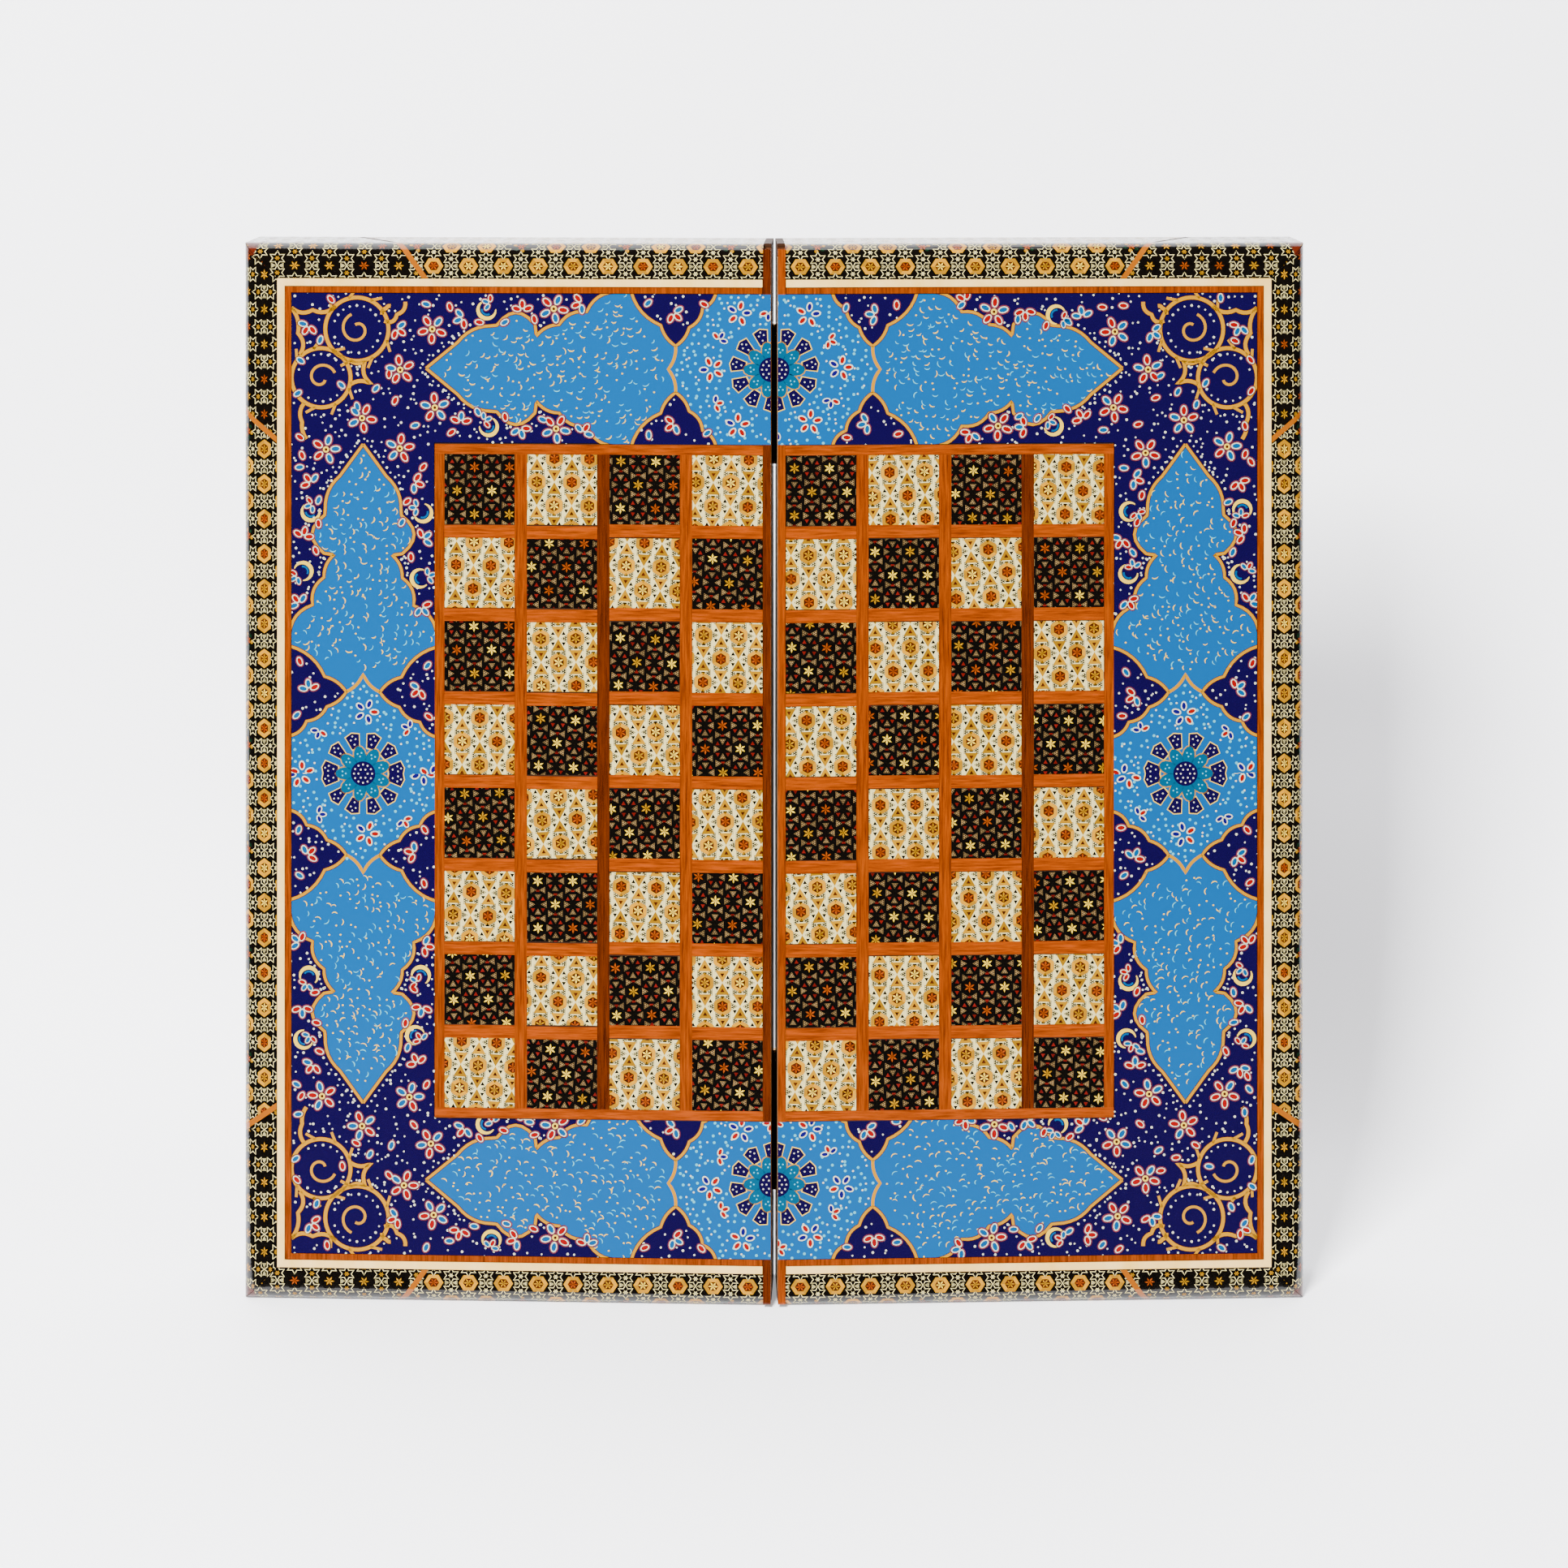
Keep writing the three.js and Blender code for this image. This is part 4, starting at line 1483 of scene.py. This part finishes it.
@dataclass(frozen=True)
class ChessBoard:
    """Four by eight squares on each tray, parted by strips of orange wood."""

    square: float = 33.3
    pitch_u: float = 39.0
    pitch_z: float = 39.3
    first_u: float = 4.0
    edge: float = 4.6
    joint: float = 0.15
    lift: float = 0.12
    step: float = 0.7
    drop: float = 3.0

    @property
    def low(self) -> float:
        """Height of the lowest square's underside."""
        return (HEIGHT - 7 * self.pitch_z - self.square) / 2 - self.drop

    @property
    def width(self) -> float:
        """Distance from the fold line to the outer end of the squares."""
        return self.first_u + 3 * self.pitch_u + self.square

    def build(self, tray: Tray) -> None:
        """Lays the squares and the strips on one tray.

        Args:
            tray: The tray.
        """
        for column in range(4):
            for row in range(8):
                self.tile(tray, column, row)
        self.strips(tray)

    def tile(self, tray: Tray, column: int, row: int) -> None:
        """Lays one square, cut from a sheet of inlay at its own place and angle.

        Args:
            tray: The tray.
            column: The column, counted from the fold line.
            row: The row, counted from the bottom.
        """
        across = 4 + column if tray.side is Side.RIGHT else 3 - column
        dark = (across + row) % 2 == 1
        seed = 1000 + 8 * across + row
        rng = np.random.default_rng(seed)
        u0 = self.first_u + column * self.pitch_u + self.joint
        z0 = self.low + row * self.pitch_z + self.joint
        size = self.square - 2 * self.joint
        sheet = Khatam(DARK_TILE if dark else LIGHT_TILE, seed=seed)
        origin = (u0 + rng.uniform(0, size), z0 + rng.uniform(0, size))
        angle = rng.normal(0, math.radians(1.6))
        shards = sheet.fill(u0, u0 + size, z0, z0 + size, angle, origin)
        name = f"square_{'dark' if dark else 'light'}_{column + 1}_{row + 1}"
        tray.inlay(name, shards, self.lift, "chess_inlay")

    def strips(self, tray: Tray) -> None:
        """Lays the strips: a frame, strips up between the columns, and short ones across between the squares.

        Args:
            tray: The tray.
        """
        z_top = self.low + 7 * self.pitch_z + self.square
        outer = self.width + self.edge
        gap = self.pitch_z - self.square
        rows = [self.low + k * self.pitch_z for k in range(8)]
        ends = [(STRIP_END, outer, z, z + self.edge) for z in (self.low - self.edge, z_top)]
        tray.sheet("chess_end_strips", ends, self.lift, ACROSS, "orange_wood")
        side = [(self.width, outer, self.low, z_top)]
        tray.sheet("chess_side_strip", side, self.lift, UPRIGHT, "orange_wood")
        starts = [self.first_u + c * self.pitch_u for c in range(4)]
        for c in range(3):
            box = (starts[c] + self.square, starts[c + 1], self.low, z_top)
            wood = DARK_UPRIGHT if (c + tray.side.value) % 3 == 0 else UPRIGHT
            tray.sheet(f"chess_column_strip_{c + 1}", [box], self.lift, wood, "orange_wood")
        rng = np.random.default_rng(60 + tray.side.value)
        short = []
        for u in starts:
            drop = rng.uniform(-self.step, self.step)
            short += [(u, u + self.square, z - gap + drop, z + drop) for z in rows[1:]]
        tray.sheet("chess_short_strips", short, self.lift + 0.2, ACROSS, "orange_wood")


class Edge(Enum):
    """The three rounded edges of a tray."""

    BOTTOM = "bottom"
    TOP = "top"
    OUTER = "outer"


@dataclass(frozen=True)
class EdgeInlay:
    """Khatam that runs over the flat, the rounded edge and the side wall of a tray.

    A place on it is (t, s): t runs along the edge and s across it, from the inner side of the flat, over
    the quarter round and down the wall. Slanted yellow strips part the corner pieces from the middle ones.
    """

    width: float = 16.0
    round_over: float = 7.0
    depth: float = 39.7
    lift: float = 0.07
    steps: int = 9
    marquise: float = 3.1
    row: float = 5.8

    @property
    def arc(self) -> float:
        """Length of the quarter round."""
        return self.round_over * math.pi / 2

    @property
    def flat(self) -> float:
        """Width of the flat."""
        return self.width - self.round_over

    @property
    def span(self) -> float:
        """Length of the whole section."""
        return self.flat + self.arc + self.depth - self.round_over

    @property
    def break_at(self) -> float:
        """Where the moulding ends and the wall's veneer begins."""
        return self.flat + self.arc + 2.15

    def levels(self) -> np.ndarray:
        """Places across the section where it bends.

        Returns:
            Rising values of s.
        """
        bend = self.flat + np.linspace(0, self.arc, self.steps + 1)
        return np.concatenate([[0.0], bend, [self.break_at, self.span]])

    def section(self, s: np.ndarray, lift: float) -> tuple[np.ndarray, np.ndarray]:
        """The section's shape.

        The angle round the bend is its length over the radius. Inset is the radius less the sine, and depth
        the radius less the cosine, both with the lift added to the radius.

        Args:
            s: Places across the section.
            lift: The height over the surface.

        Returns:
            The inset from the tray's side, and the depth.
        """
        angle = np.clip((s - self.flat) / self.round_over, 0, math.pi / 2)
        radius = self.round_over + lift
        inset = self.round_over - radius * np.sin(angle) + np.maximum(self.flat - s, 0)
        depth = self.round_over - radius * np.cos(angle) + np.maximum(s - self.flat - self.arc, 0)
        return inset, depth

    def place(self, edge: Edge, flat: np.ndarray, lift: float) -> np.ndarray:
        """Takes places on the section to places on the tray.

        Args:
            edge: The edge.
            flat: Points (t, s).
            lift: The height over the surface.

        Returns:
            Points (u, d, z).
        """
        t, s = flat[..., 0], flat[..., 1]
        inset, depth = self.section(s, lift)
        if edge is Edge.OUTER:
            return np.stack([HALF_WIDTH - inset, depth, t], -1)
        return np.stack([t, depth, inset if edge is Edge.BOTTOM else HEIGHT - inset], -1)

    def mitred(self, edge: Edge, shards: Shards) -> Shards:
        """Cuts the shards at the bends and at the tray's mitred corners.

        Args:
            edge: The edge.
            shards: The shards in (t, s).

        Returns:
            The cut shards.
        """
        levels = self.levels()
        inset, _ = self.section(levels, 0.0)
        kept = []
        for k, band in enumerate(shards.sliced(levels)):
            rise = (inset[k + 1] - inset[k]) / (levels[k + 1] - levels[k])
            start = inset[k] - rise * levels[k]
            far = HEIGHT if edge is Edge.OUTER else HALF_WIDTH
            band = band.clip((1, rise), far - start - 0.1)
            if edge is Edge.OUTER:
                band = band.clip((-1, rise), -start - 0.1)
            kept.append(band)
        return Shards.join(kept)

    def lay(
        self, tray: Tray, edge: Edge, name: str, shards: Shards, slot: str = "khatam",
        finishes: list[Finish] | None = None, lift: float = 0.0,
    ) -> None:
        """Makes a piece of the shards on one edge.

        Args:
            tray: The tray.
            edge: The edge.
            name: The piece's name without side and edge.
            shards: The shards in (t, s).
            slot: The material slot of the record; not used.
            finishes: One finish for all, or None for the inlay palette.
            lift: Height added to the inlay's own.
        """
        cut = self.mitred(edge, shards)
        rise = (cut.tone // LEVEL * LEVEL_STEP)[:, None]
        corners = self.place(edge, cut.tri, self.lift + lift + rise)
        used, index = np.unique(cut.tone % LEVEL, return_inverse=True)
        if finishes is None:
            finishes = [INLAY.finish(int(u)) for u in used]
        else:
            index = np.zeros(len(cut.tone), int)
        tray.piece(f"{edge.value}_{name}", corners, finishes, index)

    def lean(self, edge: Edge) -> list[tuple[float, float]]:
        """The slanted strips of one edge.

        Args:
            edge: The edge.

        Returns:
            For each strip its place along the edge at the inner side, and its slope.
        """
        if edge is Edge.OUTER:
            return [(92.5, -0.68), (407.5, 0.85)]
        return [(163.5, 0.72)]

    def build(self, tray: Tray) -> None:
        """Lays the inlay on the three edges.

        Args:
            tray: The tray.
        """
        for edge in Edge:
            self.run(tray, edge)

    def run(self, tray: Tray, edge: Edge) -> None:
        """Lays one edge: corner pieces, middle piece, slanted strips and corner wedge.

        Args:
            tray: The tray.
            edge: The edge.
        """
        outer = edge is Edge.OUTER
        t0, t1 = (0.0, HEIGHT) if outer else (STRIP_END, HALF_WIDTH)
        squeeze = 0.76 if outer else 0.9
        seed = 40 + 10 * list(Edge).index(edge) + tray.side.value
        middle = self.sheet(GOLD_BORDER, t0, t1, squeeze, seed)
        corner = self.sheet(STAR_BORDER, t0, t1, squeeze, seed + 1)
        strips = self.lean(edge)
        half = self.marquise / 2
        for k, (at, slope) in enumerate(strips):
            high = k == len(strips) - 1
            sign = 1 if high else -1
            away = (-sign, sign * slope)
            toward = (sign, -sign * slope)
            part = corner.clip(away, -sign * at - half)
            self.halves(tray, edge, f"corner_khatam_{k + 1}", part)
            middle = middle.clip(toward, sign * at - half)
            quad = np.array([[at - half, 0], [at + half, 0], [at + half + slope * self.span, self.span],
                             [at - half + slope * self.span, self.span]])
            band = Shards.of(np.stack([quad[[0, 1, 2]], quad[[0, 2, 3]]]), Tone.MARQUISE)
            reach = self.break_at
            self.lay(tray, edge, f"slanted_strip_{k + 1}", band.clip((0, 1), reach))
        self.halves(tray, edge, "middle_khatam", middle)
        self.wedge(tray, edge)

    def halves(self, tray: Tray, edge: Edge, name: str, shards: Shards) -> None:
        """Makes one piece for the moulding and one for the wall's veneer.

        Args:
            tray: The tray.
            edge: The edge.
            name: The name of both without side and edge.
            shards: The shards in (t, s).
        """
        self.lay(tray, edge, name, shards.clip((0, 1), self.break_at))
        self.lay(tray, edge, f"{name}_wall", shards.clip((0, -1), -self.break_at))

    def sheet(self, style: KhatamStyle, t0: float, t1: float, squeeze: float, seed: int) -> Shards:
        """One sheet of inlay over the whole section.

        Args:
            style: Its style.
            t0: The start along the edge.
            t1: The end along the edge.
            squeeze: How far the inlay is narrowed across the section.
            seed: The seed of the shades.

        Returns:
            The shards in (t, s).
        """
        inlay = Khatam(style, seed=seed, gaps=style is GOLD_BORDER)
        return inlay.fill(t0, t1, 0.0, self.span, 0.0, (t0 + 7.0, self.row), squeeze)

    def wedge(self, tray: Tray, edge: Edge) -> None:
        """Lays the red wood wedge on the outer corner, where the rounded edges meet.

        Args:
            tray: The tray.
            edge: The edge.
        """
        reach = self.break_at
        first = self.flat + 1.0
        parts = []
        far = HEIGHT if edge is Edge.OUTER else HALF_WIDTH
        tri = np.array([[far - 5.0, first], [far, first], [far, reach], [far - 5.0, first], [far, reach],
                        [far - 8.5, reach]])
        parts.append(tri)
        if edge is Edge.OUTER:
            parts.append(tri * [-1, 1] + [far, 0])
        shards = Shards.of(np.concatenate(parts), Tone.WEDGE).solid()
        self.lay(tray, edge, "corner_wedge", shards, lift=0.06)


@dataclass(frozen=True)
class Inside:
    """The playing field: inlaid points, alternately light and dark, from both ends of a tray."""

    near: float = 13.3
    far: float = 235.2
    margin: float = 14.8
    band: float = 10.0
    length: float = 185.0
    count: int = 6
    depth: float = 12.16

    def build(self, tray: Tray) -> None:
        """Lays the inlay on the twelve points and their two bands.

        Args:
            tray: The tray.
        """
        for upper in (False, True):
            end = "top" if upper else "bottom"
            for k in range(self.count):
                dark = (k + upper + (tray.side is Side.RIGHT)) % 2 == 1
                shards = self.point(k, DARK_TILE if dark else LIGHT_TILE)
                self.lay(tray, f"{end}_point_{k + 1}", shards, upper)
            sheet = Khatam(GOLD_BORDER, seed=77 + upper)
            low = self.margin + 0.2
            high = low + self.band - 0.4
            shards = sheet.fill(self.near + 0.2, self.far - 0.2, low, high, 0.0, (24.0, 20.0))
            self.lay(tray, f"{end}_point_band", shards, upper)

    def lay(self, tray: Tray, name: str, shards: Shards, upper: bool) -> None:
        """Makes the piece of one point or band.

        Args:
            tray: The tray.
            name: The piece's name without its side.
            shards: The shards as they lie at the lower end.
            upper: True for the upper end.
        """
        placed = shards.mirrored(1, HEIGHT / 2) if upper else shards
        tray.inlay(name, placed, 0.0, "khatam", INLAY, self.depth)

    def point(self, k: int, style: KhatamStyle) -> Shards:
        """One long triangle of inlay at the lower end.

        Args:
            k: Its number, counted from the fold line.
            style: The inlay's style.

        Returns:
            The shards in (u, z).
        """
        pitch = (self.far - self.near) / self.count
        left = self.near + k * pitch + 0.6
        right = left + pitch - 1.2
        foot, tip = self.margin + self.band, self.margin + self.length - 1.0
        middle = (left + right) / 2
        shards = Khatam(style, seed=200 + k).fill(left, right, foot, tip, 0.0, (middle, foot + 8.0))
        slope = (tip - foot) / (middle - left)
        shards = shards.clip((-slope, 1.0), foot - slope * left)
        return shards.clip((slope, 1.0), foot + slope * right)


@dataclass
class Stage:
    """Pale floor, sweep, lamps and camera."""

    distance: float = 1.5
    eye_height: float = 0.63
    frame_width: float = 0.7372
    centre_x: float = 0.0046
    centre_z: float = 0.2467
    face_y: float = -0.024
    glow: float = 0.36
    wall_y: float = 0.32
    sweep: float = 0.16

    def build(self) -> None:
        """Makes the floor, the lamps and the camera."""
        front = np.array([(-0.34, 0.0), (-0.03, 0.0)])
        bend = np.linspace(0.05, math.pi / 2, 16)
        start = self.wall_y - self.sweep
        rise = [(start + self.sweep * math.sin(a), self.sweep * (1 - math.cos(a))) for a in bend]
        back = np.array([(-0.03, 0.0), (start, 0.0), *rise, (self.wall_y, 3.0)])
        self.paper("floor_front", front).visible_glossy = False
        self.paper("floor", back)
        self.lamp("key", (-0.72, -2.0, 1.95), 0.7, 440.0).visible_glossy = False
        self.lamp("fill", (2.0, -1.7, 1.2), 1.4, 22.0)
        self.lamp("top", (-0.2, -0.1, 2.3), 0.9, 14.0)
        self.world()
        self.camera()

    def paper(self, name: str, line: np.ndarray) -> bpy.types.Object:
        """Makes a wide strip of pale paper.

        Args:
            name: The object's name.
            line: Its side view as (y, z) points.

        Returns:
            The object.
        """
        n = len(line)
        points = np.concatenate([np.column_stack([np.full(n, x), line]) for x in (-3.0, 3.0)])
        k = np.arange(n - 1)
        faces = np.stack([k, k + n, k + n + 1, k + 1], 1)
        mesh = bpy.data.meshes.new(name)
        mesh.from_pydata(points, [], faces)
        mesh.polygons.foreach_set("use_smooth", np.ones(len(faces), bool))
        paper = Finish("paper", (238, 238, 241), 0.8, 0.0).material()
        shader = paper.node_tree.nodes["Principled BSDF"]
        shader.inputs["Emission Color"].default_value = (0.95, 0.95, 1.0, 1.0)
        shader.inputs["Emission Strength"].default_value = self.glow
        mesh.materials.append(paper)
        made = bpy.data.objects.new(name, mesh)
        bpy.context.scene.collection.objects.link(made)
        return made

    def lamp(self, name: str, at: tuple[float, float, float], size: float, power: float) -> bpy.types.Object:
        """Makes a square soft lamp that faces the case.

        Args:
            name: The lamp's name.
            at: Its place.
            size: Its width.
            power: Its power in watts.

        Returns:
            The lamp.
        """
        data = bpy.data.lights.new(name, "AREA")
        data.size = size
        data.energy = power
        made = bpy.data.objects.new(name, data)
        made.location = at
        made.rotation_euler = (Vector((0, 0, 0.25)) - Vector(at)).to_track_quat("-Z", "Y").to_euler()
        bpy.context.scene.collection.objects.link(made)
        return made

    def world(self) -> None:
        """Fills the room with faint even light."""
        world = bpy.data.worlds.new("room")
        world.use_nodes = True
        world.node_tree.nodes["Background"].inputs["Color"].default_value = (0.9, 0.93, 1.0, 1.0)
        world.node_tree.nodes["Background"].inputs["Strength"].default_value = 0.04
        bpy.context.scene.world = world

    def camera(self) -> None:
        """Sets a level camera in front of the case, framed by a vertical shift."""
        data = bpy.data.cameras.new("camera")
        data.sensor_width = 36.0
        data.lens = 36.0 * self.distance / self.frame_width
        data.shift_y = (self.centre_z - self.eye_height) / self.frame_width
        made = bpy.data.objects.new("camera", data)
        made.location = (self.centre_x, self.face_y - self.distance, self.eye_height)
        made.rotation_euler = (math.pi / 2, 0.0, 0.0)
        bpy.context.scene.collection.objects.link(made)
        bpy.context.scene.camera = made


def dress_cad(frame: dict) -> None:
    """Gives every CAD node its finish.
    """
    finishes = {
        "hinge_rail": RAW_WALNUT, "base_panel": PLYWOOD, "moulding": SUBSTRATE, "veneer": SUBSTRATE,
        "bone_line": BONE_LINE, "wood_line": UPRIGHT, "painted_border": NAVY, "chess_field": SUBSTRATE,
        "left_seam_strip": DARK_UPRIGHT, "seam_strip": UPRIGHT,
        "playing_field": FIELD, "points": SUBSTRATE, "rail": WALNUT, "hinge": BRASS, "latch": BRASS,
    }
    softened = {"rail": 0.7, "leaf": 0.2, "hook": 0.25}
    for name, node in frame["nodes"].items():
        found = next(finish for key, finish in finishes.items() if key in name)
        node.data.materials.clear()
        node.data.materials.append(found.material())
        width = next((width for key, width in softened.items() if key in name), None)
        if width is not None:
            bevel = node.modifiers.new("softened", "BEVEL")
            bevel.width = width * MM
            bevel.segments = 2
            bevel.limit_method = "ANGLE"


def main() -> None:
    """Builds the case, then its stage."""
    logging.basicConfig(level=logging.INFO, format="%(name)s: %(message)s")
    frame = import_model()
    low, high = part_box("lower_hinge_pin")
    axis_y = (low.y + high.y) / 2 / MM
    dress_cad(frame)
    trays = [Tray(side, axis_y) for side in Side]
    for tray in trays:
        ChessBoard().build(tray)
        EdgeInlay().build(tray)
        Painting().build(tray)
        Inside().build(tray)
    Stage().build()


if __name__ == "__main__":
    main()
